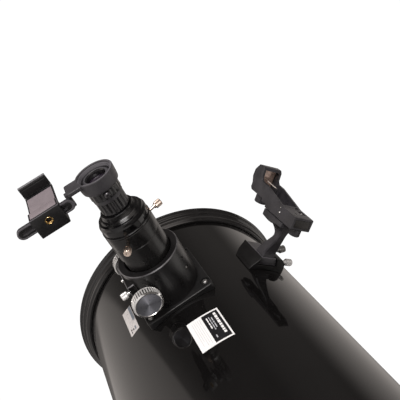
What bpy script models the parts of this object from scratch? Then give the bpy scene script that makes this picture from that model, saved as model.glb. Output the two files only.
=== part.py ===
"""Solid-tube dobsonian telescope, 254 mm f/5, on a two-arm rocker box.

World frame: metres, +Z up, origin on the azimuth axis at floor level.  The
tube points to +Y and up; the altitude axis runs along X.

Tube frame (millimetres): X is the focuser's axis, outward from the tube's
axis; Z is the tube's axis towards the sky, 0 at the front rim; Y completes a
right-handed set.  Every piece of the tube is drawn in that frame and carried
to the world by TUBE.
"""
import math

import bmesh
import bpy
from mathutils import Matrix, Vector

# ---------------------------------------------------------------- dimensions
ALTITUDE_DEG = 40.0        # tube elevation as stored
FOCUSER_ROLL_DEG = 45.0    # focuser's angle from the top of the tube to -X
ALT_AXIS_H = 611.0         # height of the altitude axis
ALT_AXIS_Z = 740.0         # altitude axis behind the front rim

TUBE_R = 150.0
TUBE_WALL = 1.6
TUBE_LEN = 1200.0
RIM_R = 163.6
N_TUBE = 48

FOC_Z = 129.55             # focuser axis behind the front rim
FOC_PLATE_TOP = 154.5
FOC_HOUSING_R = 38.2
FOC_HOUSING_TOP = 211.0
DRAW_R = 29.0
DRAW_BORE_R = 25.5
DRAW_TOP = 259.8
DRAW_BOTTOM = 153.0
SHAFT_P = -28.9            # focus shaft: offset from the draw tube's axis
SHAFT_H = 183.5            # and height over the tube's axis
SHAFT_R = 2.5
LOCK_H = 175.3             # height of the focus lock screw
FOCUS_KNOB_R = 17.5

EYE_R = 16.2
RING_TOP = 331.0
MIRROR_R = 127.0
SECONDARY_R = 31.5

FINDER_PHI_DEG = 47.0      # finder's angle round the tube from the focuser

BOARD_R = 270.0
BOARD_T = 17.7
PANEL_X0 = 170.0
PANEL_X1 = 188.0
BEARING_R = 60.0
FLANGE_R = 70.0
MM = 0.001

# ------------------------------------------------------------------- frames
_al = math.radians(ALTITUDE_DEG)
_ro = math.radians(FOCUSER_ROLL_DEG)
A_W = Vector((0.0, math.cos(_al), math.sin(_al)))
UP_W = Vector((0.0, -math.sin(_al), math.cos(_al)))
X_W = Vector((1.0, 0.0, 0.0))
B_W = (-math.sin(_ro) * X_W + math.cos(_ro) * UP_W).normalized()
C_W = A_W.cross(B_W).normalized()
RIM_W = Vector((0, 0, ALT_AXIS_H * MM)) + A_W * (ALT_AXIS_Z * MM)


def frame(x, y, z, o):
    m = Matrix.Identity(4)
    for i, v in enumerate((x, y, z)):
        for k in range(3):
            m[k][i] = v[k]
    for k in range(3):
        m[k][3] = o[k]
    return m


TUBE = frame(B_W * MM, C_W * MM, A_W * MM, RIM_W)
GROUND = Matrix.Scale(MM, 4)
# focuser frame: (p, q, h) = (tangential, along the tube, height over the axis)
FOC = TUBE @ frame((0, 1, 0), (0, 0, 1), (1, 0, 0), (0, 0, -FOC_Z))
# finder frame: (h, m, z) = (height over the skin, sideways, along the tube)
_ph = math.radians(FINDER_PHI_DEG)
N_T = Vector((math.cos(_ph), math.sin(_ph), 0))
M_T = Vector((-math.sin(_ph), math.cos(_ph), 0))
FIND = TUBE @ frame(N_T, M_T, (0, 0, 1), N_T * TUBE_R)
# altitude axis frame: local Z along +X of the world, origin on the axis
ALT = frame(Vector((0, 1, 0)) * MM, Vector((0, 0, 1)) * MM,
            Vector((1, 0, 0)) * MM, Vector((0, 0, ALT_AXIS_H * MM)))


def along(fr, origin, direction):
    """frame fr with local Z turned to direction, at origin (both in fr)."""
    d = Vector(direction).normalized()
    h = Vector((0, 0, 1)) if abs(d.z) < 0.9 else Vector((1, 0, 0))
    x = h.cross(d).normalized()
    y = d.cross(x)
    return fr @ frame(x, y, d, origin)


# ---------------------------------------------------------------- materials
def material(name, colour, rough, metal=0.0, alpha=1.0, trans=0.0):
    m = bpy.data.materials.new(name)
    m.use_nodes = True
    b = m.node_tree.nodes["Principled BSDF"]
    b.inputs["Base Color"].default_value = (*colour, 1)
    b.inputs["Roughness"].default_value = rough
    b.inputs["Metallic"].default_value = metal
    b.inputs["Transmission Weight"].default_value = trans
    m.diffuse_color = (*colour, alpha)
    return m


# ------------------------------------------------------------------ helpers
def lathe(bm, prof, n, fr, ring=False, phase=0.0):
    """Turned solid: prof is (radius, height) about local Z of fr.
    ring=True closes the profile on itself, else it starts and ends at r=0."""
    rows = []
    for r, z in prof:
        if r < 1e-6:
            rows.append([bm.verts.new(fr @ Vector((0, 0, z)))])
        else:
            rows.append([bm.verts.new(fr @ Vector((
                r * math.cos(phase + 2 * math.pi * i / n),
                r * math.sin(phase + 2 * math.pi * i / n), z)))
                for i in range(n)])
    last = len(rows) if ring else len(rows) - 1
    for k in range(last):
        a, b = rows[k], rows[(k + 1) % len(rows)]
        for i in range(n):
            j = (i + 1) % n
            if len(a) == 1 and len(b) == 1:
                continue
            if len(a) == 1:
                bm.faces.new((a[0], b[i], b[j]))
            elif len(b) == 1:
                bm.faces.new((a[i], b[0], a[j]))
            else:
                bm.faces.new((a[i], b[i], b[j], a[j]))
    return bm


def prism(bm, pts, lo, hi, fr, axis="z"):
    """Extruded outline. axis z: pts are (x, y); x: (y, z); y: (z, x)."""
    def put(u, v, w):
        if axis == "z":
            return Vector((u, v, w))
        if axis == "x":
            return Vector((w, u, v))
        return Vector((v, w, u))
    a = [bm.verts.new(fr @ put(u, v, lo)) for u, v in pts]
    b = [bm.verts.new(fr @ put(u, v, hi)) for u, v in pts]
    bm.faces.new(a)
    bm.faces.new(b)
    for i in range(len(pts)):
        j = (i + 1) % len(pts)
        bm.faces.new((a[i], a[j], b[j], b[i]))
    return bm


def box(bm, x, y, z, fr):
    return prism(bm, [(x[0], y[0]), (x[1], y[0]), (x[1], y[1]), (x[0], y[1])],
                 z[0], z[1], fr)


def loft(bm, sections, fr):
    """Skin over sections of equal point counts, capped at both ends."""
    rows = [[bm.verts.new(fr @ Vector(p)) for p in s] for s in sections]
    n = len(rows[0])
    bm.faces.new(rows[0])
    bm.faces.new(rows[-1])
    for a, b in zip(rows, rows[1:]):
        for i in range(n):
            j = (i + 1) % n
            bm.faces.new((a[i], a[j], b[j], b[i]))
    return bm


def chamfer(bm, width, angle=50.0):
    edges = [e for e in bm.edges if len(e.link_faces) == 2
             and math.degrees(e.calc_face_angle(0)) > angle]
    bmesh.ops.bevel(bm, geom=edges, offset=width * MM, segments=1,
                    affect="EDGES", profile=0.5, clamp_overlap=True)


def make(name, build, mat, origin, parent=None):
    """Object from a builder that fills a bmesh in world metres; its origin
    is moved to origin (world metres)."""
    bm = bmesh.new()
    build(bm)
    bmesh.ops.recalc_face_normals(bm, faces=bm.faces[:])
    o = Vector(origin)
    for v in bm.verts:
        v.co -= o
    me = bpy.data.meshes.new(name)
    bm.to_mesh(me)
    bm.free()
    if mat is not None:
        me.materials.append(mat)
    me.shade_smooth()
    me.set_sharp_from_angle(angle=math.radians(35))
    ob = bpy.data.objects.new(name, me)
    bpy.context.scene.collection.objects.link(ob)
    ob.location = o
    if parent is not None:
        ob.parent = parent
        ob.location = o - PARENT_AT[parent.name]
    return ob


PARENT_AT = {}


def empty(name, at, parent=None):
    ob = bpy.data.objects.new(name, None)
    ob.empty_display_size = 0.05
    bpy.context.scene.collection.objects.link(ob)
    PARENT_AT[name] = Vector(at)
    if parent is None:
        ob.location = Vector(at)
    else:
        ob.parent = parent
        ob.location = Vector(at) - PARENT_AT[parent.name]
    return ob


def tool(ob, build, op, tag):
    """Boolean on ob with a hidden guide solid."""
    g = make("tool_" + ob.name + "_" + tag, build, None, (0, 0, 0))
    g.hide_render = True
    g.display_type = "WIRE"
    m = ob.modifiers.new(tag, "BOOLEAN")
    m.operation = op
    m.solver = "EXACT"
    m.object = g
    return g


def cut(ob, build, tag):
    return tool(ob, build, "DIFFERENCE", tag)


def add(ob, build, tag):
    return tool(ob, build, "UNION", tag)


def arc(cx, cy, r, a0, a1, n):
    return [(cx + r * math.cos(math.radians(a0 + (a1 - a0) * i / n)),
             cy + r * math.sin(math.radians(a0 + (a1 - a0) * i / n)))
            for i in range(n + 1)]


def at(fr, p):
    return fr @ Vector(p)


# -------------------------------------------------------------------- build
for _o in list(bpy.data.objects):
    bpy.data.objects.remove(_o, do_unlink=True)

BLACK_GLOSS = material("tube_black_gloss", (0.012, 0.011, 0.011), 0.08)
RIM_BLACK = material("rim_black", (0.02, 0.019, 0.019), 0.25)
SATIN_BLACK = material("satin_black_alloy", (0.018, 0.018, 0.019), 0.38, 0.3)
PLASTIC_BLACK = material("black_plastic", (0.022, 0.022, 0.024), 0.42)
RUBBER = material("black_rubber", (0.015, 0.015, 0.015), 0.8)
CHROME = material("chrome", (0.82, 0.81, 0.79), 0.12, 1.0)
STEEL = material("steel", (0.6, 0.6, 0.6), 0.3, 1.0)
BRASS = material("brass", (0.75, 0.53, 0.26), 0.25, 1.0)
MIRROR = material("aluminised_mirror", (0.9, 0.91, 0.92), 0.03, 1.0)
GLASS = material("coated_glass", (0.30, 0.22, 0.20), 0.05, 0.0, 0.5, 0.6)
BOARD = material("black_laminate_board", (0.016, 0.016, 0.016), 0.35)
WHITE_PAD = material("white_low_friction_pad", (0.82, 0.82, 0.80), 0.4)
GREY_JAW = material("grey_brown_plastic", (0.22, 0.19, 0.20), 0.35)

ground = empty("ground_frame", (0, 0, 0))
rocker = empty("azimuth_axis", (0, 0, 0.0483), ground)
tube = empty("altitude_axis", (0, 0, ALT_AXIS_H * MM), rocker)

# ---- ground board, feet, roller ring, pivot bolt --------------------------
Z_GB0, Z_GB1 = 22.3, 40.0
Z_RB0, Z_RB1 = 48.3, 66.0

ob = make("ground_board", lambda bm: lathe(bm, [
    (5.6, Z_GB0), (BOARD_R, Z_GB0), (BOARD_R, Z_GB1 - 2),
    (BOARD_R - 2, Z_GB1), (5.6, Z_GB1)], 48, GROUND, True), BOARD, (0, 0, 0), ground)
for i in range(3):
    an = math.radians(90 + 120 * i)
    fx, fy = 225 * math.cos(an), 225 * math.sin(an)
    fr = GROUND @ Matrix.Translation((fx, fy, 0))
    make("foot_%d" % (i + 1), lambda bm, fr=fr: lathe(bm, [
        (0, 0), (24, 0), (28, 4), (28, 22), (0, 22)], 18, fr),
        RUBBER, fr @ Vector((0, 0, 0)), ground)
make("roller_ring", lambda bm: lathe(bm, [
    (150, 40.3), (190, 40.3), (190, 48.0), (150, 48.0)], 36, GROUND, True),
    WHITE_PAD, (0, 0, 0), ground)
make("pivot_bolt", lambda bm: lathe(bm, [
    (0, 6), (13, 6), (13, 21.9), (5, 21.9), (5, 66.4), (13, 66.4),
    (13, 74), (0, 74)], 16, GROUND), STEEL, (0, 0, 0), ground)

# ---- rocker box -------------------------------------------------------------
make("rocker_base", lambda bm: lathe(bm, [
    (5.6, Z_RB0), (BOARD_R, Z_RB0), (BOARD_R, Z_RB1 - 2),
    (BOARD_R - 2, Z_RB1), (5.6, Z_RB1)], 48, GROUND, True), BOARD, (0, 0, Z_RB0 * MM), rocker)

CRADLE_R = 63.5
PANEL_TOP = 640.0


def panel_outline():
    pts = [(-176, 66.3), (188, 66.3), (188, 250), (108, PANEL_TOP),
           (CRADLE_R, PANEL_TOP)]
    pts += arc(0, ALT_AXIS_H, CRADLE_R, 0, -180, 20)
    pts += [(-CRADLE_R, PANEL_TOP), (-108, PANEL_TOP), (-176, 250)]
    return pts


for side, sx in (("left", -1), ("right", 1)):
    lo, hi = sorted((sx * PANEL_X0, sx * PANEL_X1))

    def build(bm, lo=lo, hi=hi):
        prism(bm, panel_outline(), lo, hi, GROUND, "x")
        flat = [f for f in bm.faces if len(f.verts) > 6]
        edges = {e for f in flat for e in f.edges}
        bmesh.ops.bevel(bm, geom=list(edges), offset=1.5 * MM, segments=1,
                        affect="EDGES", clamp_overlap=True)
    make("side_panel_" + side, build, BOARD,
         (sx * PANEL_X0 * MM, 0, 66.3 * MM), rocker)

    def build(bm, lo=lo, hi=hi):
        pts = arc(0, ALT_AXIS_H, 60.5, -160, -20, 14)
        pts += arc(0, ALT_AXIS_H, 62.9, -20, -160, 14)
        prism(bm, pts, lo, hi, GROUND, "x")
    make("cradle_liner_" + side, build, WHITE_PAD,
         (sx * PANEL_X0 * MM, 0, 0.548), rocker)


def build(bm):
    box(bm, (-169.6, 169.6), (168.5, 186.5), (66.3, 400), GROUND)
    chamfer(bm, 1.5)


make("front_panel", build, BOARD, (0, 0.1685, 66.3 * MM), rocker)

# ---- optical tube and rings -------------------------------------------------
T_FRONT, T_REAR = -3.0, -(TUBE_LEN - 3.0)


def tube_cutter(r):
    return lambda bm: lathe(bm, [(0, 60), (r, 60), (r, -TUBE_LEN - 60),
                                 (0, -TUBE_LEN - 60)], N_TUBE, TUBE)


ob = make("optical_tube", lambda bm: lathe(bm, [
    (TUBE_R, T_FRONT), (TUBE_R, T_REAR), (TUBE_R - TUBE_WALL, T_REAR),
    (TUBE_R - TUBE_WALL, T_FRONT)], N_TUBE, TUBE, True), BLACK_GLOSS,
    at(TUBE, (0, 0, -ALT_AXIS_Z)), tube)
cut(ob, lambda bm: lathe(bm, [(0, 120), (30.6, 120), (30.6, 170), (0, 170)],
                         24, FOC), "focuser_hole")

make("front_ring", lambda bm: lathe(bm, [
    (146.5, 0), (RIM_R, 0), (RIM_R, -4.2), (160.6, -6.0),
    (160.6, -9.5), (157.6, -11.2), (157.6, -19), (154.6, -22),
    (150.4, -22), (150.4, -2.6), (146.5, -2.6)],
    N_TUBE, TUBE, True), RIM_BLACK, at(TUBE, (0, 0, 0)), tube)
make("rear_ring", lambda bm: lathe(bm, [
    (150.4, -1178), (154.6, -1178), (157.6, -1181), (157.6, -1191),
    (RIM_R, -1195), (RIM_R, -1202),
    (146.5, -1202), (146.5, -1197.4), (150.4, -1197.4)],
    N_TUBE, TUBE, True), RIM_BLACK, at(TUBE, (0, 0, -1190)), tube)

# ---- secondary mirror, holder, spider --------------------------------------


def slanted(bm, r, k0, k1, flat_top=None, n=28):
    """Cylinder of radius r along the tube, cut at 45 degrees: z = x + k."""
    lo, hi = [], []
    for i in range(n):
        t = 2 * math.pi * i / n
        x, y = r * math.cos(t), r * math.sin(t)
        lo.append((x, y, x + k0 - FOC_Z))
        hi.append((x, y, (x + k1 if flat_top is None else flat_top) - FOC_Z))
    loft(bm, [lo, hi], TUBE)


make("secondary_mirror", lambda bm: slanted(bm, SECONDARY_R, 0, 9), MIRROR,
     at(TUBE, (0, 0, -FOC_Z)), tube)
make("secondary_holder", lambda bm: slanted(bm, 30.0, 9.5, 0, 46.0),
     PLASTIC_BLACK, at(TUBE, (0, 0, -FOC_Z + 40)), tube)
ob = make("spider", lambda bm: lathe(bm, [
    (0, -FOC_Z + 46.4), (15, -FOC_Z + 46.4), (15, -FOC_Z + 70),
    (11, -FOC_Z + 74), (0, -FOC_Z + 74)], 24, TUBE), SATIN_BLACK,
    at(TUBE, (0, 0, -FOC_Z + 60)), tube)
for i in range(4):
    fr = TUBE @ Matrix.Rotation(math.radians(45 + 90 * i), 4, "Z")
    add(ob, lambda bm, fr=fr: box(bm, (10, 147.6), (-0.7, 0.7),
                                  (-FOC_Z + 48, -FOC_Z + 68), fr),
        "vane%d" % i)

# ---- primary mirror and cell ------------------------------------------------
make("primary_mirror", lambda bm: lathe(bm, [
    (0, -1117.2), (64, -1116.4), (MIRROR_R - 1, -1114), (MIRROR_R, -1115),
    (MIRROR_R, -1149), (0, -1149)], 36, TUBE), MIRROR,
    at(TUBE, (0, 0, -1149)), tube)
ob = make("mirror_cell", lambda bm: lathe(bm, [
    (34, -1149.4), (127.6, -1149.4), (127.6, -1136), (133, -1136),
    (133, -1158), (147.2, -1158), (147.2, -1172), (34, -1172)],
    36, TUBE, True), SATIN_BLACK, at(TUBE, (0, 0, -1172)), tube)
for i in range(3):
    an = math.radians(30 + 120 * i)
    cx, cy = 96 * math.cos(an), 96 * math.sin(an)
    fr = TUBE @ Matrix.Translation((cx, cy, 0))
    cut(ob, lambda bm, fr=fr: lathe(bm, [
        (0, -1158), (4.6, -1158), (4.6, -1180), (0, -1180)], 16, fr),
        "bolt%d" % i)
    make("collimation_knob_%d" % (i + 1), lambda bm, fr=fr: lathe(bm, [
        (0, -1160), (4.0, -1160), (4.0, -1184), (9, -1186), (12, -1190),
        (12, -1208), (10, -1211), (0, -1211)], 14, fr), PLASTIC_BLACK,
        fr @ Vector((0, 0, -1198)), tube)

# ---- altitude bearings and tension knobs ------------------------------------
for side, sx in (("left", -1), ("right", 1)):
    fr = ALT @ Matrix.Scale(sx, 4, (0, 0, 1))
    ob = make("altitude_bearing_" + side, lambda bm, fr=fr: lathe(bm, [
        (0, 134), (BEARING_R, 134), (BEARING_R, 189.6), (FLANGE_R, 189.6),
        (FLANGE_R, 194), (FLANGE_R - 2, 196), (0, 196)], 36, fr),
        PLASTIC_BLACK, fr @ Vector((0, 0, 190)), tube)
    cut(ob, tube_cutter(TUBE_R + 0.4), "saddle")
    cut(ob, lambda bm, fr=fr: lathe(bm, [
        (0, 172), (5.5, 172), (5.5, 200), (0, 200)], 16, fr), "stud_hole")
    make("tension_knob_" + side, lambda bm, fr=fr: lathe(bm, [
        (0, 174), (5, 174), (5, 196.4), (14, 196.4), (22, 201),
        (22, 216), (18, 220), (0, 220)], 18, fr), PLASTIC_BLACK,
        fr @ Vector((0, 0, 200)), tube)

# ---- focuser: saddle plate, screws, housing ---------------------------------


def build(bm):
    box(bm, (-44, 44), (-42.5, 42.5), (136, FOC_PLATE_TOP), FOC)
    bmesh.ops.recalc_face_normals(bm, faces=bm.faces[:])
    up = (FOC.to_3x3() @ Vector((0, 0, 1))).normalized()
    top = [f for f in bm.faces if f.normal.dot(up) > 0.9]
    bmesh.ops.bevel(bm, geom=list({e for f in top for e in f.edges}),
                    offset=1.6 * MM, segments=2, affect="EDGES")


ob = make("focuser_base", build, SATIN_BLACK, at(FOC, (0, 0, 154)), tube)
cut(ob, tube_cutter(TUBE_R + 0.35), "saddle")
cut(ob, lambda bm: lathe(bm, [(0, 120), (30.6, 120), (30.6, 170), (0, 170)],
                         24, FOC), "bore")
BASE_SCREWS = [(37, -33.5), (-37, -33.5), (37, 33.5), (-37, 33.5)]
for i, (p, q) in enumerate(BASE_SCREWS):
    fr = FOC @ Matrix.Translation((p, q, 0))
    cut(ob, lambda bm, fr=fr: lathe(bm, [
        (0, 149), (2.3, 149), (2.3, 160), (0, 160)], 12, fr), "s%d" % i)
    make("base_screw_%d" % (i + 1), lambda bm, fr=fr: lathe(bm, [
        (0, 149.4), (1.9, 149.4), (1.9, 154.9), (3.6, 154.9), (3.4, 156.3),
        (2.0, 157.2), (0, 157.3)], 14, fr), STEEL,
        fr @ Vector((0, 0, 155)), tube)

ob = make("focuser_housing", lambda bm: lathe(bm, [
    (29.6, 154.8), (FOC_HOUSING_R, 154.8), (FOC_HOUSING_R, 208.6),
    (36.2, FOC_HOUSING_TOP), (29.6, FOC_HOUSING_TOP)],
    36, FOC, True), SATIN_BLACK, at(FOC, (0, 0, 180)), tube)


def build(bm):
    box(bm, (-40.5, -31), (-24, 24), (154.8, 201), FOC)
    chamfer(bm, 1.0)


add(ob, build, "pinion_block")
cut(ob, lambda bm: lathe(bm, [(0, -60), (SHAFT_R + 0.35, -60),
                              (SHAFT_R + 0.35, 60), (0, 60)], 16,
                         along(FOC, (SHAFT_P, 0, SHAFT_H), (0, 1, 0))),
    "shaft_bore")
LOCK_FR = along(FOC, (SHAFT_P, 0, LOCK_H), (-1, 0, 0))
cut(ob, lambda bm: lathe(bm, [(0, -3.0), (2.3, -3.0), (2.3, 20), (0, 20)],
                         12, LOCK_FR), "lock_hole")
TENS_FR = along(FOC, (SHAFT_P, 0, 195.5), (-1, 0, 0))
cut(ob, lambda bm: lathe(bm, [(0, 5.0), (1.5, 5.0), (1.5, 20), (0, 20)],
                         12, TENS_FR), "tension_hole")
SET_DIR = (math.cos(math.radians(41)), -math.sin(math.radians(41)), 0)
SET_FR = along(FOC, (0, 0, 180.3), SET_DIR)
cut(ob, lambda bm: lathe(bm, [(0, 33.0), (2.7, 33.0), (2.7, 45), (0, 45)],
                         12, SET_FR), "set_hole")
make("housing_set_screw", lambda bm: lathe(bm, [
    (0, 33.3), (2.2, 33.3), (2.2, 37.2), (1.4, 37.9), (0, 37.9)], 12,
    SET_FR), STEEL, SET_FR @ Vector((0, 0, 35)), tube)
make("focus_lock_knob", lambda bm: lathe(bm, [
    (0, -2.2), (1.9, -2.2), (1.9, 15.9), (2.6, 15.9), (2.6, 17.2),
    (4.5, 17.2), (4.5, 24.7), (4.0, 25.4), (0, 25.4)], 14, LOCK_FR),
    CHROME, LOCK_FR @ Vector((0, 0, 20)), tube)
make("focus_tension_screw", lambda bm: lathe(bm, [
    (0, 5.4), (1.2, 5.4), (1.2, 12.0), (2.1, 12.0), (2.1, 13.4),
    (1.2, 14.4), (0, 14.5)], 12, TENS_FR), STEEL,
    TENS_FR @ Vector((0, 0, 12)), tube)

# ---- draw tube --------------------------------------------------------------
draw = empty("focus_slide", at(FOC, (0, 0, DRAW_BOTTOM)), tube)
ob = make("draw_tube", lambda bm: lathe(bm, [
    (DRAW_BORE_R, DRAW_BOTTOM), (DRAW_R, DRAW_BOTTOM),
    (DRAW_R, DRAW_TOP), (DRAW_BORE_R, DRAW_TOP)], 36, FOC, True), SATIN_BLACK,
    at(FOC, (0, 0, DRAW_BOTTOM)), draw)
cut(ob, lambda bm: box(bm, (-40, SHAFT_P + SHAFT_R + 0.3), (-20, 20),
                       (140, 225), FOC), "drive_flat")

ADAPTER_SCREWS = [(111.0, 252.4), (-13.0, 252.4)]
for i, (psi, h) in enumerate(ADAPTER_SCREWS):
    d = (math.cos(math.radians(psi)), -math.sin(math.radians(psi)), 0)
    fr = along(FOC, (0, 0, h), d)
    cut(ob, lambda bm, fr=fr: lathe(bm, [
        (0, 20), (2.1, 20), (2.1, 35), (0, 35)], 12, fr), "screw%d" % i)
    make("adapter_thumbscrew_%d" % (i + 1), lambda bm, fr=fr: lathe(bm, [
        (0, 25.7), (1.7, 25.7), (1.7, 35.6), (2.8, 35.6), (2.8, 37.4),
        (4.2, 37.4), (4.2, 44.6), (3.7, 45.2), (0, 45.2)],
        14, fr), BRASS, fr @ Vector((0, 0, 40)), draw)

# ---- focus shaft and knobs --------------------------------------------------
SHAFT_FR = along(FOC, (SHAFT_P, 0, SHAFT_H), (0, 1, 0))
spin = empty("focus_shaft_axis", SHAFT_FR @ Vector((0, 0, 0)), tube)
make("focus_shaft", lambda bm: lathe(bm, [
    (0, -44), (SHAFT_R, -44), (SHAFT_R, 44), (0, 44)], 16, SHAFT_FR),
    STEEL, SHAFT_FR @ Vector((0, 0, 0)), spin)
for name, s in (("rear", -1), ("front", 1)):
    fr = SHAFT_FR @ Matrix.Scale(s, 4, (0, 0, 1))
    ob = make("focus_knob_" + name, lambda bm, fr=fr: lathe(bm, [
        (0, 44.5), (2.9, 44.5), (2.9, 31.8), (5.0, 31.8), (5.0, 37.4),
        (16.2, 37.4), (FOCUS_KNOB_R, 38.6), (FOCUS_KNOB_R, 45.8),
        (15.2, 48.1), (14.6, 47.5), (0, 47.5)], 24, fr), CHROME,
        fr @ Vector((0, 0, 42)), spin)

# ---- eyepiece adapter, eyepiece ---------------------------------------------
make("eyepiece_adapter", lambda bm: lathe(bm, [
    (16.15, 230), (25.2, 230), (25.2, 260.1), (29.0, 260.1), (29.0, 262.2),
    (28.2, 262.6), (28.2, 270.2), (26.6, 273.8), (22.4, 278.0),
    (19.6, 279.4), (19.2, 283.6), (16.15, 283.6)], 32, FOC, True),
    BLACK_GLOSS, at(FOC, (0, 0, 260)), draw)
eye = empty("eyepiece_slide", at(FOC, (0, 0, 283.6)), draw)
make("eyepiece", lambda bm: lathe(bm, [
    (10.8, 248), (15.8, 248), (15.8, 284.2), (15.3, 285.2), (15.3, 288.2),
    (EYE_R, 289.2), (EYE_R, 322), (15.0, 326.2), (12.0, 327.0),
    (10.8, 325.6)], 32, FOC, True), RUBBER, at(FOC, (0, 0, 284)), eye)
make("eyepiece_lens", lambda bm: lathe(bm, [
    (0, 316.6), (10.4, 318.4), (10.4, 321.6), (6.0, 322.9), (0, 323.4)],
    24, FOC), GLASS, at(FOC, (0, 0, 320)), eye)

# ---- phone adapter: ring, rail, clamp ---------------------------------------
ringax = empty("phone_adapter_axis", at(FOC, (0, 0, 318)), eye)
ob = make("phone_ring", lambda bm: lathe(bm, [
    (16.7, 304.4), (17.3, 304.4), (18.9, 308.4), (19.8, 312), (20.0, 316),
    (21.2, 321.5), (21.8, RING_TOP), (19.8, RING_TOP), (17.3, 327.2),
    (16.7, 326.4)], 28, FOC, True),
    PLASTIC_BLACK, at(FOC, (0, 0, 318)), ringax)


def build(bm):
    box(bm, (-33.8, -18.0), (-13.0, 8.5), (326.6, RING_TOP), FOC)
    chamfer(bm, 0.8)


add(ob, build, "arm")


def build(bm):
    box(bm, (-37.0, -31.6), (-4.2, 0.6), (311.0, 328.0), FOC)
    chamfer(bm, 0.6)


add(ob, build, "tab")
RSET_FR = along(FOC, (0, 0, 310.5), (0, -1, 0))
cut(ob, lambda bm: lathe(bm, [(0, 12), (2.3, 12), (2.3, 30), (0, 30)], 12,
                         RSET_FR), "set_hole")
make("ring_set_screw", lambda bm: lathe(bm, [
    (0, 16.7), (1.9, 16.7), (1.9, 21.0), (3.0, 21.2), (3.0, 23.6),
    (2.4, 24.2), (0, 24.2)], 14, RSET_FR), STEEL,
    RSET_FR @ Vector((0, 0, 20)), ringax)


def build(bm):
    pts = arc(-38.1, 318, 6.5, 90, -90, 8) + arc(-90.5, 318, 6.5, -90, -270,
                                                   8)
    prism(bm, [(h, p) for p, h in pts], -9.5, -4.7, FOC, "y")


ob = make("phone_rail", build, PLASTIC_BLACK, at(FOC, (-62, -7, 318)), ringax)


def build(bm):
    pts = arc(-42, 318, 2.2, 90, -90, 6) + arc(-90.5, 318, 2.2, -90, -270, 6)
    prism(bm, [(h, p) for p, h in pts], -12, -7.2, FOC, "y")


cut(ob, build, "slot")

clampax = empty("clamp_slide", at(FOC, (-61.5, -7, 318)), ringax)


def build(bm):
    box(bm, (-78, -45), (-14.5, 1.5), (304.5, 329), FOC)
    chamfer(bm, 0.9)


ob = make("phone_clamp_body", build, PLASTIC_BLACK,
          at(FOC, (-61.5, -7, 318)), clampax)
add(ob, lambda bm: box(bm, (-70, -53), (0, 36), (304.9, 311.3), FOC),
    "guide")
cut(ob, lambda bm: box(bm, (-90, -30), (-9.9, -4.3), (311.1, 324.9), FOC),
    "rail_tunnel")
cut(ob, lambda bm: box(bm, (-68.2, -54.8), (-11.5, 50), (306.3, 309.9), FOC),
    "tongue_bore")
INS_FR = along(FOC, (-61.5, -14.5, 318.5), (0, -1, 0))
cut(ob, lambda bm: lathe(bm, [(0, -3.9), (4.5, -3.9), (4.5, 5), (0, 5)], 16,
                         INS_FR), "insert_pocket")
make("thread_insert", lambda bm: lathe(bm, [
    (3.1, -3.6), (4.2, -3.6), (4.2, 0.3), (3.1, 0.3)], 16,
    INS_FR, True), BRASS, INS_FR @ Vector((0, 0, 0)), clampax)

jawax = empty("jaw_slide", at(FOC, (-61.5, 1.9, 324)), clampax)


def build(bm):
    pts = [(1.9, 322.4), (43.4, 322.4), (43.4, 306.6), (47.0, 306.6),
           (47.0, 339.2), (46.2, 340.0), (44.2, 340.0), (43.6, 339.4),
           (43.6, 328.0), (42.0, 326.0), (30, 325.5), (1.9, 325.5)]
    prism(bm, pts, -77.5, -45.5, FOC, "x")


ob = make("phone_clamp_jaw", build, GREY_JAW, at(FOC, (-61.5, 1.9, 324)),
          jawax)
add(ob, lambda bm: box(bm, (-67.8, -55.2), (-9.5, 45), (306.7, 309.5), FOC),
    "tongue")


def build(bm):
    box(bm, (-76.5, -46.5), (41.2, 43.3), (328.4, 338.8), FOC)
    chamfer(bm, 0.5)


make("jaw_pad", build, RUBBER, at(FOC, (-61.5, 42, 333)), jawax)

# ---- finder: shoe, bracket, red-dot body ------------------------------------


def build(bm):
    pts = [(-8, -26), (-1, -24.5), (8, -17.6), (16.5, -13.2),
           (16.5, -11.4), (6, -14.2), (6, 14.2), (16.5, 11.4),
           (16.5, 20), (11, 26.0), (-1, 27), (-8, 27)]
    prism(bm, pts, -150, -103, FIND)


ob = make("finder_shoe", build, PLASTIC_BLACK, at(FIND, (8, 0, -126)), tube)
cut(ob, tube_cutter(TUBE_R + 0.4), "saddle")
SHOE_SCREWS = [((9.5, 22, -118), (math.sin(math.radians(25)),
                                  math.cos(math.radians(25)), 0)),
               ((7.6, 23, -137), (0.04, 1.0, 0))]
for i, (o, d) in enumerate(SHOE_SCREWS):
    fr = along(FIND, o, d)
    cut(ob, lambda bm, fr=fr: lathe(bm, [
        (0, -16), (2.3, -16), (2.3, 12), (0, 12)], 12, fr), "screw%d" % i)
    make("shoe_thumbscrew_%d" % (i + 1), lambda bm, fr=fr: lathe(bm, [
        (0, -6.0), (1.9, -6.0), (1.9, 11.2), (2.8, 11.2), (2.8, 13.6),
        (4.8, 13.6), (4.8, 21.4), (4.2, 22.2), (0, 22.2)],
        14, fr), STEEL, fr @ Vector((0, 0, 12)), tube)

brax = empty("finder_slide", at(FIND, (11, 0, -126)), tube)


def build(bm):
    prism(bm, [(6.4, -13.4), (16.1, -10.7), (16.1, 10.7), (6.4, 13.4)],
          -148, -106, FIND)


ob = make("finder_bracket", build, PLASTIC_BLACK, at(FIND, (11, 0, -126)),
          brax)
STEM = [(12, -128, -147, 10.0), (21, -129.5, -145.8, 9.6),
        (30, -133.5, -148.5, 8.4), (38, -138.5, -151.3, 6.9),
        (46, -143, -153.5, 5.8), (52, -141.5, -155, 5.8),
        (58, -134, -156.5, 7.2), (65, -121, -158, 11.0)]
add(ob, lambda bm: loft(bm, [[(h, -w, zf), (h, w, zf), (h, w, zr),
                              (h, -w, zr)] for h, zf, zr, w in STEM], FIND),
    "stem")


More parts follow.
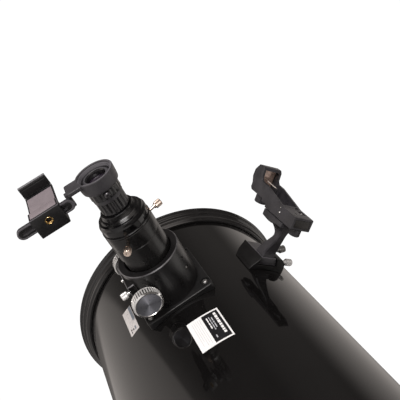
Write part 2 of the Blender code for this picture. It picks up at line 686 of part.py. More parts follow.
def build(bm):
    box(bm, (63, 68.6), (-13.5, 13.5), (-160, -117), FIND)
    chamfer(bm, 0.8)


add(ob, build, "platform")
add(ob, lambda bm: box(bm, (67, 70.2), (-9, 9), (-141, -135), FIND), "pivot")

tiltax = empty("finder_tilt_axis", at(FIND, (70.3, 0, -138)), brax)


def build(bm):
    pts = [(-178, 70.5), (-178, 86), (-150, 86.6), (-137, 89.3),
           (-104, 95.6), (-92.3, 95.9), (-88.4, 99.5), (-87.2, 109.3),
           (-84, 112.8), (-74, 112.6), (-67.3, 103.3), (-67.5, 93.8),
           (-72.1, 86), (-72.4, 80.2), (-76.1, 77.4), (-104, 77.4),
           (-106, 74.0), (-115.5, 74.0), (-116.5, 70.5)]
    prism(bm, pts, -14, 14, FIND @ frame((0, 0, 1), (1, 0, 0), (0, 1, 0),
                                         (0, 0, 0)))


ob = make("finder_body", build, PLASTIC_BLACK, at(FIND, (70.3, 0, -138)),
          tiltax)
cut(ob, lambda bm: box(bm, (82, 109.2), (-11, 11), (-145, -55), FIND),
    "window")


def build(bm):
    box(bm, (82.4, 108.8), (-10.6, 10.6), (-79.5, -77.3), FIND)


make("finder_lens", build, GLASS, at(FIND, (95, 0, -78)), tiltax)
DIAL_FR = along(FIND, (66.6, -3.5, -91), (1, 0, 0))
make("finder_dial", lambda bm: lathe(bm, [
    (0, 0), (7.8, 0), (8.6, 0.9), (8.6, 10.2), (0, 10.2)], 16,
    DIAL_FR), PLASTIC_BLACK, DIAL_FR @ Vector((0, 0, 5)), tiltax)
ADJ_FR = along(FIND, (61.4, 0, -171), (1, 0, 0))
make("finder_adjuster", lambda bm: lathe(bm, [
    (0, 0), (6.0, 0), (6.8, 0.9), (6.8, 8.8), (0, 8.8)], 16,
    ADJ_FR), PLASTIC_BLACK, ADJ_FR @ Vector((0, 0, 4)), tiltax)
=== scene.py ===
"""Looks for the dobsonian telescope: detailed pieces and procedural
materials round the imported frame.  Lengths inside are millimetres unless a
name ends in _M; the frames below carry them to the row frame in metres."""
import math

import bmesh
import bpy
from mathutils import Matrix, Vector


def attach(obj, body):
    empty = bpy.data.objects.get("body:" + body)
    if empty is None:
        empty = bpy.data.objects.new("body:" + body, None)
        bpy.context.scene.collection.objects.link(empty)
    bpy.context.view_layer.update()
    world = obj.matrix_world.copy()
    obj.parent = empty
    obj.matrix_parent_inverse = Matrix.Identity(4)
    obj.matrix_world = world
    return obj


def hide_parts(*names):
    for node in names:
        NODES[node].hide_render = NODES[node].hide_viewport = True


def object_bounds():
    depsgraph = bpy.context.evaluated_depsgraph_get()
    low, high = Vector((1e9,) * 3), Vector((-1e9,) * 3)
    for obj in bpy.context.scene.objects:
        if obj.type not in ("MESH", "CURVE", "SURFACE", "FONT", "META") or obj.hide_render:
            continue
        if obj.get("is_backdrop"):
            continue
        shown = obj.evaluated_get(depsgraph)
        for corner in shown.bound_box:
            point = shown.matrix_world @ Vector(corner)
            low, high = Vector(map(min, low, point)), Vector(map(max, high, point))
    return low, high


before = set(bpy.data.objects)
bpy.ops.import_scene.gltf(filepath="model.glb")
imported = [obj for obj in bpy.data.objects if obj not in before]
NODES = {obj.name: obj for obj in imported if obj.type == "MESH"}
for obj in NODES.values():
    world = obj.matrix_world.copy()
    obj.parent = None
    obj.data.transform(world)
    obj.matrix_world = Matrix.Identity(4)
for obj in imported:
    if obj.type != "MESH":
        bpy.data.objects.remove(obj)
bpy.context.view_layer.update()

MM = 0.001

# ------------------------------------------------------------------- frames
_al, _ro = math.radians(40.0), math.radians(45.0)
A_W = Vector((0.0, math.cos(_al), math.sin(_al)))
UP_W = Vector((0.0, -math.sin(_al), math.cos(_al)))
X_W = Vector((1.0, 0.0, 0.0))
B_W = (-math.sin(_ro) * X_W + math.cos(_ro) * UP_W).normalized()
C_W = A_W.cross(B_W).normalized()
RIM_W = Vector((0, 0, 0.611)) + A_W * 0.740
FOC_Z = 129.55
TUBE_R = 150.0


def frame4(x, y, z, o):
    m = Matrix.Identity(4)
    for i, v in enumerate((x, y, z)):
        for k in range(3):
            m[k][i] = v[k]
    for k in range(3):
        m[k][3] = o[k]
    return m


TUBE = frame4(B_W * MM, C_W * MM, A_W * MM, RIM_W)
GROUND = Matrix.Scale(MM, 4)
FOC = TUBE @ frame4((0, 1, 0), (0, 0, 1), (1, 0, 0), (0, 0, -FOC_Z))
_ph = math.radians(47.0)
N_T = Vector((math.cos(_ph), math.sin(_ph), 0))
M_T = Vector((-math.sin(_ph), math.cos(_ph), 0))
FIND = TUBE @ frame4(N_T, M_T, (0, 0, 1), N_T * TUBE_R)
ALT = frame4(Vector((0, 1, 0)) * MM, Vector((0, 0, 1)) * MM,
             Vector((1, 0, 0)) * MM, Vector((0, 0, 0.611)))


def along(fr, origin, direction):
    d = Vector(direction).normalized()
    h = Vector((0, 0, 1)) if abs(d.z) < 0.9 else Vector((1, 0, 0))
    x = h.cross(d).normalized()
    return fr @ frame4(x, d.cross(x), d, origin)


# ---------------------------------------------------------------- materials
class Nodes:
    """Small builder of shader nodes."""

    def __init__(self, name):
        self.m = bpy.data.materials.new(name)
        self.m.use_nodes = True
        self.t = self.m.node_tree
        self.b = self.t.nodes["Principled BSDF"]

    def new(self, kind, **kw):
        n = self.t.nodes.new(kind)
        for k, v in kw.items():
            setattr(n, k, v)
        return n

    def link(self, a, b):
        self.t.links.new(a, b)

    def coords(self, scale=(1, 1, 1), rot=(0, 0, 0)):
        tc = self.new("ShaderNodeTexCoord")
        mp = self.new("ShaderNodeMapping")
        mp.inputs["Scale"].default_value = scale
        mp.inputs["Rotation"].default_value = rot
        self.link(tc.outputs["Object"], mp.inputs["Vector"])
        return mp.outputs["Vector"]

    def noise(self, vec, scale, detail=3.0, rough=0.5):
        n = self.new("ShaderNodeTexNoise")
        n.inputs["Scale"].default_value = scale
        n.inputs["Detail"].default_value = detail
        n.inputs["Roughness"].default_value = rough
        self.link(vec, n.inputs["Vector"])
        return n.outputs["Fac"]

    def ramp(self, fac, stops):
        r = self.new("ShaderNodeValToRGB")
        el = r.color_ramp.elements
        while len(el) < len(stops):
            el.new(0.5)
        for e, (p, c) in zip(el, stops):
            e.position = p
            e.color = (*c, 1) if len(c) == 3 else c
        self.link(fac, r.inputs["Fac"])
        return r.outputs["Color"]

    def rng(self, fac, lo, hi, a=0.3, b=0.7):
        r = self.new("ShaderNodeMapRange")
        r.inputs["From Min"].default_value = a
        r.inputs["From Max"].default_value = b
        r.inputs["To Min"].default_value = lo
        r.inputs["To Max"].default_value = hi
        self.link(fac, r.inputs["Value"])
        return r.outputs["Result"]

    def bump(self, fac, strength, dist, prev=None):
        n = self.new("ShaderNodeBump")
        n.inputs["Strength"].default_value = strength
        n.inputs["Distance"].default_value = dist
        self.link(fac, n.inputs["Height"])
        if prev is not None:
            self.link(prev, n.inputs["Normal"])
        return n.outputs["Normal"]

    def put(self, name, value):
        self.b.inputs[name].default_value = value


def surface(name, base, rough, metal=0.0, vary=0.2, grain=1500.0, bump=0.15,
            dist=0.00008, cloud=60.0, rough_var=0.06, ior=1.5, coat=0.0,
            stretch=(1, 1, 1), spec=0.5):
    """General finish: cloudy colour, uneven roughness, fine grain."""
    s = Nodes(name)
    v = s.coords(stretch)
    big = s.noise(v, cloud, 4.0, 0.55)
    lo = tuple(c * (1 - vary) for c in base)
    hi = tuple(min(1.0, c * (1 + vary)) for c in base)
    s.link(s.ramp(big, [(0.3, lo), (0.7, hi)]), s.b.inputs["Base Color"])
    s.link(s.rng(big, rough - rough_var, rough + rough_var),
           s.b.inputs["Roughness"])
    fine = s.noise(v, grain, 2.0, 0.6)
    s.link(s.bump(fine, bump, dist), s.b.inputs["Normal"])
    s.put("Metallic", metal)
    s.put("IOR", ior)
    s.put("Coat Weight", coat)
    s.put("Specular IOR Level", spec)
    return s.m


def paint_gloss(name, base, rough):
    """Baked gloss enamel: orange peel, broad waviness, faint haze."""
    s = Nodes(name)
    v = s.coords()
    haze = s.noise(v, 9.0, 4.0, 0.6)
    s.link(s.ramp(haze, [(0.3, tuple(c * 0.8 for c in base)),
                         (0.7, tuple(c * 1.25 for c in base))]),
           s.b.inputs["Base Color"])
    s.link(s.rng(haze, rough - 0.015, rough + 0.02), s.b.inputs["Roughness"])
    peel = s.noise(v, 420.0, 1.0, 0.4)
    wave = s.noise(v, 14.0, 1.0, 0.4)
    n1 = s.bump(wave, 0.12, 0.0006)
    s.link(s.bump(peel, 0.06, 0.00006, n1), s.b.inputs["Normal"])
    s.put("IOR", 1.5)
    return s.m


def spun(name, base, rough, highlight_sectors):
    """Turned metal face: fine rings about the piece's own Z, and broad light
    and dark wedges round it, painted highlights for its cone-shaped reflections."""
    s = Nodes(name)
    tc = s.new("ShaderNodeTexCoord")
    sep = s.new("ShaderNodeSeparateXYZ")
    s.link(tc.outputs["Object"], sep.inputs[0])
    ang = s.new("ShaderNodeMath", operation="ARCTAN2")
    s.link(sep.outputs["Y"], ang.inputs[0])
    s.link(sep.outputs["X"], ang.inputs[1])
    turn = s.rng(ang.outputs[0], 0.0, 1.0, -math.pi, math.pi)
    s.link(s.ramp(turn, [(p, tuple(c * k for c in base))
                         for p, k in highlight_sectors]), s.b.inputs["Base Color"])
    ln = s.new("ShaderNodeVectorMath", operation="LENGTH")
    cmb = s.new("ShaderNodeCombineXYZ")
    s.link(sep.outputs["X"], cmb.inputs["X"])
    s.link(sep.outputs["Y"], cmb.inputs["Y"])
    s.link(cmb.outputs[0], ln.inputs[0])
    w = s.new("ShaderNodeTexWave", wave_type="BANDS", bands_direction="X")
    w.inputs["Scale"].default_value = 700.0
    w.inputs["Distortion"].default_value = 0.6
    c2 = s.new("ShaderNodeCombineXYZ")
    s.link(ln.outputs["Value"], c2.inputs["X"])
    s.link(c2.outputs[0], w.inputs["Vector"])
    s.link(s.bump(w.outputs["Fac"], 0.15, 0.00002), s.b.inputs["Normal"])
    nz = s.noise(tc.outputs["Object"], 300.0, 3.0)
    s.link(s.rng(nz, rough - 0.05, rough + 0.08), s.b.inputs["Roughness"])
    s.put("Metallic", 0.35)
    return s.m


GLOSS = paint_gloss("enamel_gloss_black", (0.0045, 0.0042, 0.0042), 0.05)
RING_PAINT = surface("rim_semi_gloss_black", (0.012, 0.0114, 0.0114), 0.11,
                     grain=900, bump=0.08, dist=0.00005, cloud=25,
                     rough_var=0.03)
FLOCK = surface("tube_inside_flat_black", (0.010, 0.010, 0.010), 0.88,
                grain=900, bump=0.6, dist=0.0003, cloud=30, spec=0.2)
ANOD = surface("anodised_black", (0.0095, 0.0090, 0.0095), 0.30, 0.15,
               grain=2600, bump=0.14, dist=0.00003, cloud=45, rough_var=0.04)
ANOD_GLOSS = surface("anodised_black_bright", (0.004, 0.0038, 0.0042), 0.10,
                     0.1, grain=2600, bump=0.06, dist=0.00002, cloud=60,
                     rough_var=0.025)
PLATE = surface("anodised_plate", (0.010, 0.0098, 0.0102), 0.36, 0.1,
                grain=2600, bump=0.14, dist=0.00003, cloud=45,
                rough_var=0.04)
EYE_BLACK = surface("eyepiece_gloss_rubber", (0.0115, 0.0110, 0.0122), 0.21,
                    grain=2400, bump=0.12, dist=0.00003, cloud=70,
                    rough_var=0.04)
FINDER_BLACK = surface("finder_slate_plastic", (0.0262, 0.0248, 0.0285),
                       0.42, grain=1500, bump=0.80, dist=0.00015, cloud=75,
                       rough_var=0.07, vary=0.36)
FINDER_REAR = surface("finder_rear_brown", (0.0120, 0.0100, 0.0090), 0.30,
                      grain=1500, bump=0.35, dist=0.00008, cloud=60)
SHOE_BLACK = surface("shoe_black", (0.0022, 0.0020, 0.0021), 0.40,
                     grain=1800, bump=0.25, dist=0.00006, cloud=50, spec=0.3)
PHONE = surface("phone_ring_charcoal", (0.045, 0.0430, 0.0480), 0.42,
                grain=2400, bump=0.30, dist=0.00006, cloud=60,
                rough_var=0.05)
CLAMP_BLACK = surface("clamp_black", (0.0058, 0.0056, 0.0060), 0.42,
                      grain=2400, bump=0.30, dist=0.00006, cloud=70)
DRAW_BLACK = surface("draw_tube_anodised", (0.007, 0.0066, 0.0066), 0.27, 0.2,
                     grain=1800, bump=0.10, dist=0.00003, cloud=35,
                     rough_var=0.03, stretch=(1, 1, 1))
# painted highlight: lighter grey on the housing lip's chamfer and the pinion block's
# bevel, for their bright edge lines
EDGE_HIGHLIGHT = surface("anodised_edge_painted_highlight", (0.105, 0.102, 0.108), 0.34, 0.45,
               grain=2600, bump=0.12, dist=0.00003, cloud=160, vary=0.35)
# bright metal of the knurl ridges and knurled screw heads, lifted with a diffuse white as
# a painted highlight
RIDGE_METAL_AND_HIGHLIGHT = surface("knurl_ridge_metal_and_painted_highlight", (0.86, 0.85, 0.84), 0.30, 0.55,
                vary=0.06, grain=2200, bump=0.10, dist=0.00002, cloud=90)
# painted highlight: lighter grey on bevels, borders and top ridges of the moulded parts,
# for light lines along their edges
LINE_HIGHLIGHT_GREY = surface("moulded_edge_painted_highlight", (0.105, 0.100, 0.110), 0.34,
                   grain=2400, bump=0.20, dist=0.00005, cloud=110)
# painted highlight: lighter grey on the phone ring's top annulus and upper inner wall
CUP_TOP_HIGHLIGHT = surface("phone_ring_top_painted_highlight", (0.105, 0.101, 0.112), 0.40,
                   grain=2400, bump=0.25, dist=0.00006, cloud=80)
# painted highlight: lighter grey on the eyepiece's top rim
EYE_TOP_HIGHLIGHT = surface("eye_top_painted_highlight", (0.062, 0.060, 0.067), 0.40,
                   grain=2400, bump=0.25, dist=0.00006, cloud=80)
# blackened steel set screw, its grey lifted as a painted highlight
GRUB_STEEL_AND_HIGHLIGHT = surface("set_screw_blackened_with_painted_highlight", (0.10, 0.096, 0.102), 0.30, 0.6,
               grain=2400, bump=0.10, dist=0.00003, cloud=90)
MOULD = surface("moulded_black", (0.020, 0.0195, 0.0215), 0.46, grain=2400,
                bump=0.35, dist=0.00006, cloud=70, rough_var=0.05)
MOULD_GREY = surface("moulded_charcoal", (0.030, 0.0290, 0.0320), 0.44,
                     grain=2600, bump=0.35, dist=0.00006, cloud=60,
                     rough_var=0.05)
GLOSSY_PLASTIC = surface("gloss_black_plastic", (0.014, 0.0135, 0.015), 0.22,
                         grain=1800, bump=0.12, dist=0.00004, cloud=50)
RUBBER = surface("soft_rubber", (0.0055, 0.0050, 0.0055), 0.55, grain=3000,
                 bump=0.4, dist=0.00006, cloud=90, spec=0.3)
PAD_GREY = surface("jaw_pad_grey", (0.222, 0.190, 0.205), 0.50, grain=2600,
                   bump=0.45, dist=0.00010, cloud=120, vary=0.07)
CHROME = surface("bright_chrome", (0.83, 0.82, 0.81), 0.11, 1.0, vary=0.04,
                 grain=900, bump=0.05, dist=0.00002, cloud=120,
                 rough_var=0.04)
NICKEL = surface("nickel_steel", (0.62, 0.61, 0.60), 0.24, 1.0, vary=0.08,
                 grain=1400, bump=0.12, dist=0.00003, cloud=200,
                 rough_var=0.06)
DULL_STEEL = surface("dull_zinc", (0.28, 0.276, 0.272), 0.44, 1.0,
                     vary=0.12, grain=1400, bump=0.2, dist=0.00004,
                     cloud=200)
DARK_STEEL = surface("blackened_steel", (0.13, 0.128, 0.125), 0.30, 1.0,
                     vary=0.15, grain=1600, bump=0.15, dist=0.00003,
                     cloud=200)
CHAMPAGNE = surface("champagne_plated", (0.80, 0.66, 0.57), 0.20, 1.0,
                    vary=0.06, grain=1600, bump=0.12, dist=0.00003,
                    cloud=260, rough_var=0.05)
BRASS = surface("brass_insert", (0.83, 0.58, 0.25), 0.20, 1.0, vary=0.08,
                grain=1800, bump=0.12, dist=0.00003, cloud=300)
MIRROR = surface("aluminised_front", (0.90, 0.91, 0.92), 0.025, 1.0,
                 vary=0.015, grain=400, bump=0.0, dist=0.00001, cloud=30,
                 rough_var=0.012)
GROUND_GLASS = surface("ground_glass_edge", (0.50, 0.56, 0.52), 0.55,
                       vary=0.08, grain=1600, bump=0.3, dist=0.00006,
                       cloud=50)
LENS = surface("coated_eye_lens", (0.018, 0.012, 0.022), 0.04, 0.0, vary=0.3,
               grain=200, bump=0.0, dist=0.00001, cloud=40, rough_var=0.01,
               coat=1.0, ior=1.6)
PAPER = surface("label_white", (0.86, 0.86, 0.86), 0.34, vary=0.015,
                grain=1400, bump=0.06, dist=0.00003, cloud=70)
PAPER_BLACK = surface("label_black", (0.010, 0.010, 0.012), 0.32, vary=0.1,
                      grain=1400, bump=0.06, dist=0.00003, cloud=70)
PAPER_GREY = surface("label_grey", (0.46, 0.47, 0.50), 0.36, vary=0.05,
                     grain=1400, bump=0.06, dist=0.00003, cloud=70)
PAPER_PALE = surface("label_pale_grey", (0.62, 0.62, 0.64), 0.36, vary=0.04,
                     grain=1400, bump=0.06, dist=0.00003, cloud=70)
SILVER_FOIL = surface("sticker_silver", (0.68, 0.655, 0.65), 0.30, 0.35,
                      vary=0.05, grain=1200, bump=0.08, dist=0.00004,
                      cloud=80)
SLATE = surface("sticker_slate", (0.16, 0.18, 0.21), 0.35, vary=0.1,
                grain=1200, bump=0.08, dist=0.00004, cloud=80)
PTFE = surface("white_ptfe", (0.78, 0.78, 0.76), 0.42, vary=0.03, grain=900,
               bump=0.12, dist=0.00005, cloud=60)
ADJ_RED = surface("dial_mark_white", (0.75, 0.75, 0.75), 0.4, vary=0.03,
                  grain=900, bump=0.1, dist=0.00003, cloud=90)


def melamine():
    """Black board: long embossed pores along Z, satin sheen."""
    s = Nodes("melamine_board")
    v = s.coords((1.0, 1.0, 0.045))
    pores = s.noise(v, 900.0, 3.0, 0.7)
    cloud = s.noise(s.coords((1, 1, 0.2)), 18.0, 4.0, 0.6)
    s.link(s.ramp(cloud, [(0.3, (0.011, 0.011, 0.011)),
                          (0.7, (0.019, 0.0185, 0.018))]),
           s.b.inputs["Base Color"])
    s.link(s.rng(pores, 0.30, 0.48), s.b.inputs["Roughness"])
    s.link(s.bump(pores, 0.35, 0.00018), s.b.inputs["Normal"])
    return s.m


BOARD = melamine()
BANDING = surface("edge_banding", (0.012, 0.012, 0.012), 0.30, grain=700,
                  bump=0.2, dist=0.0001, cloud=30)
# painted shade: darker metal for the sunk faces of the knob's knurl
GROOVE_SHADE = surface("knurl_groove_painted_shade", (0.085, 0.083, 0.082), 0.35, 1.0,
                 vary=0.2, grain=1600, bump=0.2, dist=0.00003, cloud=200)
# knob face: the light and dark wedges in its colour are painted highlights
FACE = spun("spun_face_painted_highlights", (0.245, 0.249, 0.280), 0.30, [
    (0.00, 0.50), (0.10, 0.60), (0.20, 1.60), (0.28, 0.80), (0.45, 0.50),
    (0.55, 0.80), (0.68, 1.40), (0.74, 2.10), (0.80, 1.00), (0.92, 0.55),
    (1.00, 0.50)])


def window_glass():
    s = Nodes("window_glass")
    v = s.coords()
    c = s.noise(v, 50.0, 3.0)
    s.link(s.ramp(c, [(0.3, (0.76, 0.56, 0.47)), (0.7, (0.86, 0.66, 0.56))]),
           s.b.inputs["Base Color"])
    s.link(s.rng(c, 0.05, 0.10), s.b.inputs["Roughness"])
    s.put("Transmission Weight", 0.35)
    s.put("Metallic", 0.25)
    s.put("IOR", 1.5)
    return s.m


WINDOW = window_glass()
# painted highlight: bright colour for the thin rod along the finder's trough
TROUGH_HIGHLIGHT = surface("trough_painted_highlight", (0.80, 0.72, 0.66), 0.30, 0.4, vary=0.05,
               grain=1200, bump=0.1, dist=0.00003, cloud=200)


# ------------------------------------------------------------------ helpers
def rounded(prof, f=0.4, steps=4, ring=False):
    """Profile with each corner eased; a third number is its own radius."""
    pts = [Vector((p[0], p[1])) for p in prof]
    fs = [p[2] if len(p) > 2 else f for p in prof]
    out, n = [], len(pts)
    for i in range(n):
        b = pts[i]
        if not ring and i in (0, n - 1):
            out.append((b.x, b.y))
            continue
        u, v = pts[i - 1] - b, pts[(i + 1) % n] - b
        lu, lv = u.length, v.length
        if fs[i] <= 0 or lu < 1e-6 or lv < 1e-6:
            out.append((b.x, b.y))
            continue
        u, v = u / lu, v / lv
        ang = math.acos(max(-1, min(1, u.dot(v))))
        if ang > math.pi - 0.05:
            out.append((b.x, b.y))
            continue
        t = min(fs[i] / math.tan(ang / 2), 0.46 * lu, 0.46 * lv)
        p, q = b + u * t, b + v * t
        for k in range(steps + 1):
            s = k / steps
            w = p * (1 - s) ** 2 + b * 2 * s * (1 - s) + q * s * s
            out.append((w.x, w.y))
    return out


def lathe(bm, prof, n, fr, ring=False, wave=None, mats=None):
    """Turned solid; wave(angle, r, z) adds to the radius, mats(r, z) gives
    each face's material."""
    rows = []
    for r, z in prof:
        if r < 1e-6:
            rows.append([bm.verts.new(fr @ Vector((0, 0, z)))])
            continue
        row = []
        for i in range(n):
            t = 2 * math.pi * i / n
            rr = r + (wave(t, r, z) if wave else 0.0)
            row.append(bm.verts.new(fr @ Vector((
                rr * math.cos(t), rr * math.sin(t), z))))
        rows.append(row)
    last = len(rows) if ring else len(rows) - 1
    for k in range(last):
        a, b = rows[k], rows[(k + 1) % len(rows)]
        pa, pb = prof[k], prof[(k + 1) % len(prof)]
        m = mats((pa[0] + pb[0]) / 2, (pa[1] + pb[1]) / 2) if mats else 0
        for i in range(n):
            j = (i + 1) % n
            if len(a) == 1 and len(b) == 1:
                continue
            if len(a) == 1:
                f = bm.faces.new((a[0], b[i], b[j]))
            elif len(b) == 1:
                f = bm.faces.new((a[i], b[0], a[j]))
            else:
                f = bm.faces.new((a[i], b[i], b[j], a[j]))
            f.material_index = m
    return bm


def prism(bm, pts, lo, hi, fr, axis="z"):
    def put(u, v, w):
        if axis == "z":
            return Vector((u, v, w))
        if axis == "x":
            return Vector((w, u, v))
        return Vector((v, w, u))
    a = [bm.verts.new(fr @ put(u, v, lo)) for u, v in pts]
    b = [bm.verts.new(fr @ put(u, v, hi)) for u, v in pts]
    bm.faces.new(a)
    bm.faces.new(b)
    for i in range(len(pts)):
        j = (i + 1) % len(pts)
        bm.faces.new((a[i], a[j], b[j], b[i]))
    return bm


def box(bm, x, y, z, fr):
    return prism(bm, [(x[0], y[0]), (x[1], y[0]), (x[1], y[1]), (x[0], y[1])],
                 z[0], z[1], fr)


def loft(bm, sections, fr):
    rows = [[bm.verts.new(fr @ Vector(p)) for p in s] for s in sections]
    n = len(rows[0])
    bm.faces.new(rows[0])
    bm.faces.new(rows[-1])
    for a, b in zip(rows, rows[1:]):
        for i in range(n):
            j = (i + 1) % n
            bm.faces.new((a[i], a[j], b[j], b[i]))
    return bm


def arc(cx, cy, r, a0, a1, n):
    return [(cx + r * math.cos(math.radians(a0 + (a1 - a0) * i / n)),
             cy + r * math.sin(math.radians(a0 + (a1 - a0) * i / n)))
            for i in range(n + 1)]


def to_object(name, bm, mats, angle=32.0):
    bmesh.ops.recalc_face_normals(bm, faces=bm.faces[:])
    me = bpy.data.meshes.new(name)
    bm.to_mesh(me)
    bm.free()
    for m in (mats if isinstance(mats, (list, tuple)) else [mats]):
        me.materials.append(m)
    me.shade_smooth()
    me.set_sharp_from_angle(angle=math.radians(angle))
    ob = bpy.data.objects.new(name, me)
    bpy.context.scene.collection.objects.link(ob)
    return ob


def carve(ob, builds, op="DIFFERENCE", angle=32.0, solver="EXACT"):
    """Boolean the builders' solids into ob and keep the result."""
    tools = []
    for k, build in enumerate(builds):
        bm = bmesh.new()
        build(bm)
        t = to_object("guide_%d" % k, bm, list(ob.data.materials)[:1])
        m = ob.modifiers.new("b%d" % k, "BOOLEAN")
        m.operation, m.solver, m.object = op, solver, t
        tools.append(t)
    bake(ob, angle)
    for t in tools:
        bpy.data.objects.remove(t, do_unlink=True)
    return ob


def bake(ob, angle=32.0):
    dg = bpy.context.evaluated_depsgraph_get()
    me = bpy.data.meshes.new_from_object(ob.evaluated_get(dg))
    ob.modifiers.clear()
    ob.data = me
    me.shade_smooth()
    me.set_sharp_from_angle(angle=math.radians(angle))
    return ob


def soften(ob, width, seg=3, angle=30.0, clamp=True, mat=-1):
    m = ob.modifiers.new("edge", "BEVEL")
    m.material = mat
    m.width, m.segments = width * MM, seg
    m.limit_method, m.angle_limit = "ANGLE", math.radians(angle)
    m.use_clamp_overlap = clamp
    bake(ob, 40.0)
    return ob


def refinish(ob, fr, test, idx):
    """Gives the faces that pass test(radius, z, point) the material idx."""
    inv = fr.inverted()
    for p in ob.data.polygons:
        c = inv @ p.center
        if test(math.hypot(c.x, c.y), c.z, c):
            p.material_index = idx


def recentre(ob, fr):
    """Gives ob the frame fr as its own (unit scale), vertices unmoved."""
    z = (fr.to_3x3() @ Vector((0, 0, 1))).normalized()
    x = (fr.to_3x3() @ Vector((1, 0, 0))).normalized()
    m = frame4(x, z.cross(x), z, fr.translation)
    ob.data.transform(m.inverted())
    ob.matrix_world = m
    return ob


def place(ob, body, nodes=()):
    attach(ob, body)
    if nodes:
        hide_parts(*nodes)
    return ob


def turned(name, prof, n, fr, mats, body, nodes=(), ring=False,
           f=0.4, steps=4, wave=None, pick=None, cuts=None, adds=None):
    bm = bmesh.new()
    lathe(bm, rounded(prof, f, steps, ring), n, fr, ring, wave, pick)
    ob = to_object(name, bm, mats)
    if adds:
        carve(ob, adds, "UNION")
    if cuts:
        carve(ob, cuts)
    return place(ob, body, nodes)


def ribs(teeth, depth, r_min, power=1.0):
    """Knurl: straight grooves round whatever is wider than r_min."""
    def w(t, r, z):
        if r < r_min:
            return 0.0
        return -depth * (0.5 - 0.5 * math.cos(teeth * t)) ** power
    return w


# ------------------------------------------------------------------- camera
cam_data = bpy.data.cameras.new("camera")
cam_data.sensor_width = 36.0
cam_data.lens = 46.08
cam_data.clip_start, cam_data.clip_end = 0.01, 50
cam = bpy.data.objects.new("camera", cam_data)
bpy.context.scene.collection.objects.link(cam)
R_CAM = Matrix(((-0.40186722, 0.83253642, -0.38129496),
                (-0.72978874, -0.54270077, -0.41579355),
                (-0.55309234, 0.11117097, 0.82566935)))
W3 = Matrix((B_W, C_W, A_W)).transposed()
_rot = W3 @ R_CAM.transposed() @ Matrix.Diagonal((1, -1, -1))
_loc = RIM_W + W3 @ Vector((0.55467, 0.01766, -0.61257))
cam.matrix_world = Matrix.Translation(_loc) @ _rot.to_4x4()
bpy.context.scene.camera = cam
bpy.context.scene.view_settings.view_transform = "Standard"

# ------------------------------------------------------- floor, world, lamps
bm = bmesh.new()
bmesh.ops.create_circle(bm, cap_ends=True, segments=128, radius=3.2)
floor = to_object("floor", bm, surface("floor_pale", (0.74, 0.74, 0.74), 0.6,
                                       vary=0.02, cloud=2.0, grain=300,
                                       bump=0.05, dist=0.0002))
floor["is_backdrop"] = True

world = bpy.data.worlds.new("studio")
bpy.context.scene.world = world
world.use_nodes = True
wt = world.node_tree
wn = wt.nodes
bg = wn["Background"]


def wmath(op, a, b=None, c=None):
    n = wn.new("ShaderNodeMath")
    n.operation = op
    for i, v in enumerate((a, b, c)):
        if v is None:
            continue
        if isinstance(v, (int, float)):
            n.inputs[i].default_value = v
        else:
            wt.links.new(v, n.inputs[i])
    return n.outputs[0]


def wstep(v, lo, hi):
    n = wn.new("ShaderNodeMapRange")
    n.interpolation_type = "SMOOTHSTEP"
    n.inputs["From Min"].default_value = lo
    n.inputs["From Max"].default_value = hi
    wt.links.new(v, n.inputs["Value"])
    return n.outputs["Result"]


def wdot(v, d):
    n = wn.new("ShaderNodeVectorMath")
    n.operation = "DOT_PRODUCT"
    wt.links.new(v, n.inputs[0])
    n.inputs[1].default_value = d
    return n.outputs["Value"]


_tc = wn.new("ShaderNodeTexCoord")
_d = _tc.outputs["Generated"]
# white backdrop to the left and ahead, cut off along a slanting top edge
cut = wdot(_d, (-0.698, -0.123, -1.0))
edge = wmath("ADD", wmath("MULTIPLY", wstep(cut, -0.02, 0.03), 0.45),
             wmath("MULTIPLY", wstep(cut, -0.25, 0.30), 0.48))
back = wmath("MULTIPLY", edge,
             wstep(wdot(_d, (-0.45, 0.89, 0.0)), 0.35, 0.60))
# broad soft panel on the right
right = wmath("MULTIPLY", wstep(wdot(_d, (0.830, 0.302, 0.469)), 0.795, 1.02),
              0.66)
# the dim room overhead, and a lighter room behind the camera
room = wmath("ADD", 0.118, wmath("MULTIPLY", wstep(
    wdot(_d, (-0.52, -0.69, 0.50)), 0.74, 1.0), 1.9))
room = wmath("ADD", room, wmath("MULTIPLY", wstep(
    wdot(_d, (0.207, 0.018, 0.978)), 0.90, 1.0), 0.10))
level = wmath("ADD", wmath("MAXIMUM", wmath("MULTIPLY", back, 0.98), right),
              room)
lp = wn.new("ShaderNodeLightPath")
mixw = wn.new("ShaderNodeMix")
mixw.data_type = "FLOAT"
wt.links.new(lp.outputs["Is Camera Ray"], mixw.inputs["Factor"])
wt.links.new(level, mixw.inputs["A"])
mixw.inputs["B"].default_value = 1.05
wt.links.new(mixw.outputs["Result"], bg.inputs["Strength"])
tint = wn.new("ShaderNodeMix")
tint.data_type = "RGBA"
wt.links.new(lp.outputs["Is Camera Ray"], tint.inputs[0])
tint.inputs[6].default_value = (1, 0.92, 0.865, 1)
tint.inputs[7].default_value = (1, 1, 1, 1)
wt.links.new(tint.outputs[2], bg.inputs["Color"])


def area(name, loc, aim, size, power, colour=(1, 1, 1)):
    d = bpy.data.lights.new(name, "AREA")
    d.shape, d.size, d.size_y = "RECTANGLE", size[0], size[1]
    d.energy, d.color = power, colour
    o = bpy.data.objects.new(name, d)
    bpy.context.scene.collection.objects.link(o)
    o.location = loc
    o.rotation_euler = (Vector(aim) - Vector(loc)).to_track_quat(
        "-Z", "Y").to_euler()
    return o


area("key_left", (-2.2, -1.5, 2.1), (0, 0.3, 0.9), (1.3, 1.3), 60,
     (1.0, 0.985, 0.98))
area("fill_right", (2.7, -0.9, 1.0), (-0.2, 0.15, 1.1), (1.7, 1.5), 8.5,
     (1.0, 0.96, 0.92))

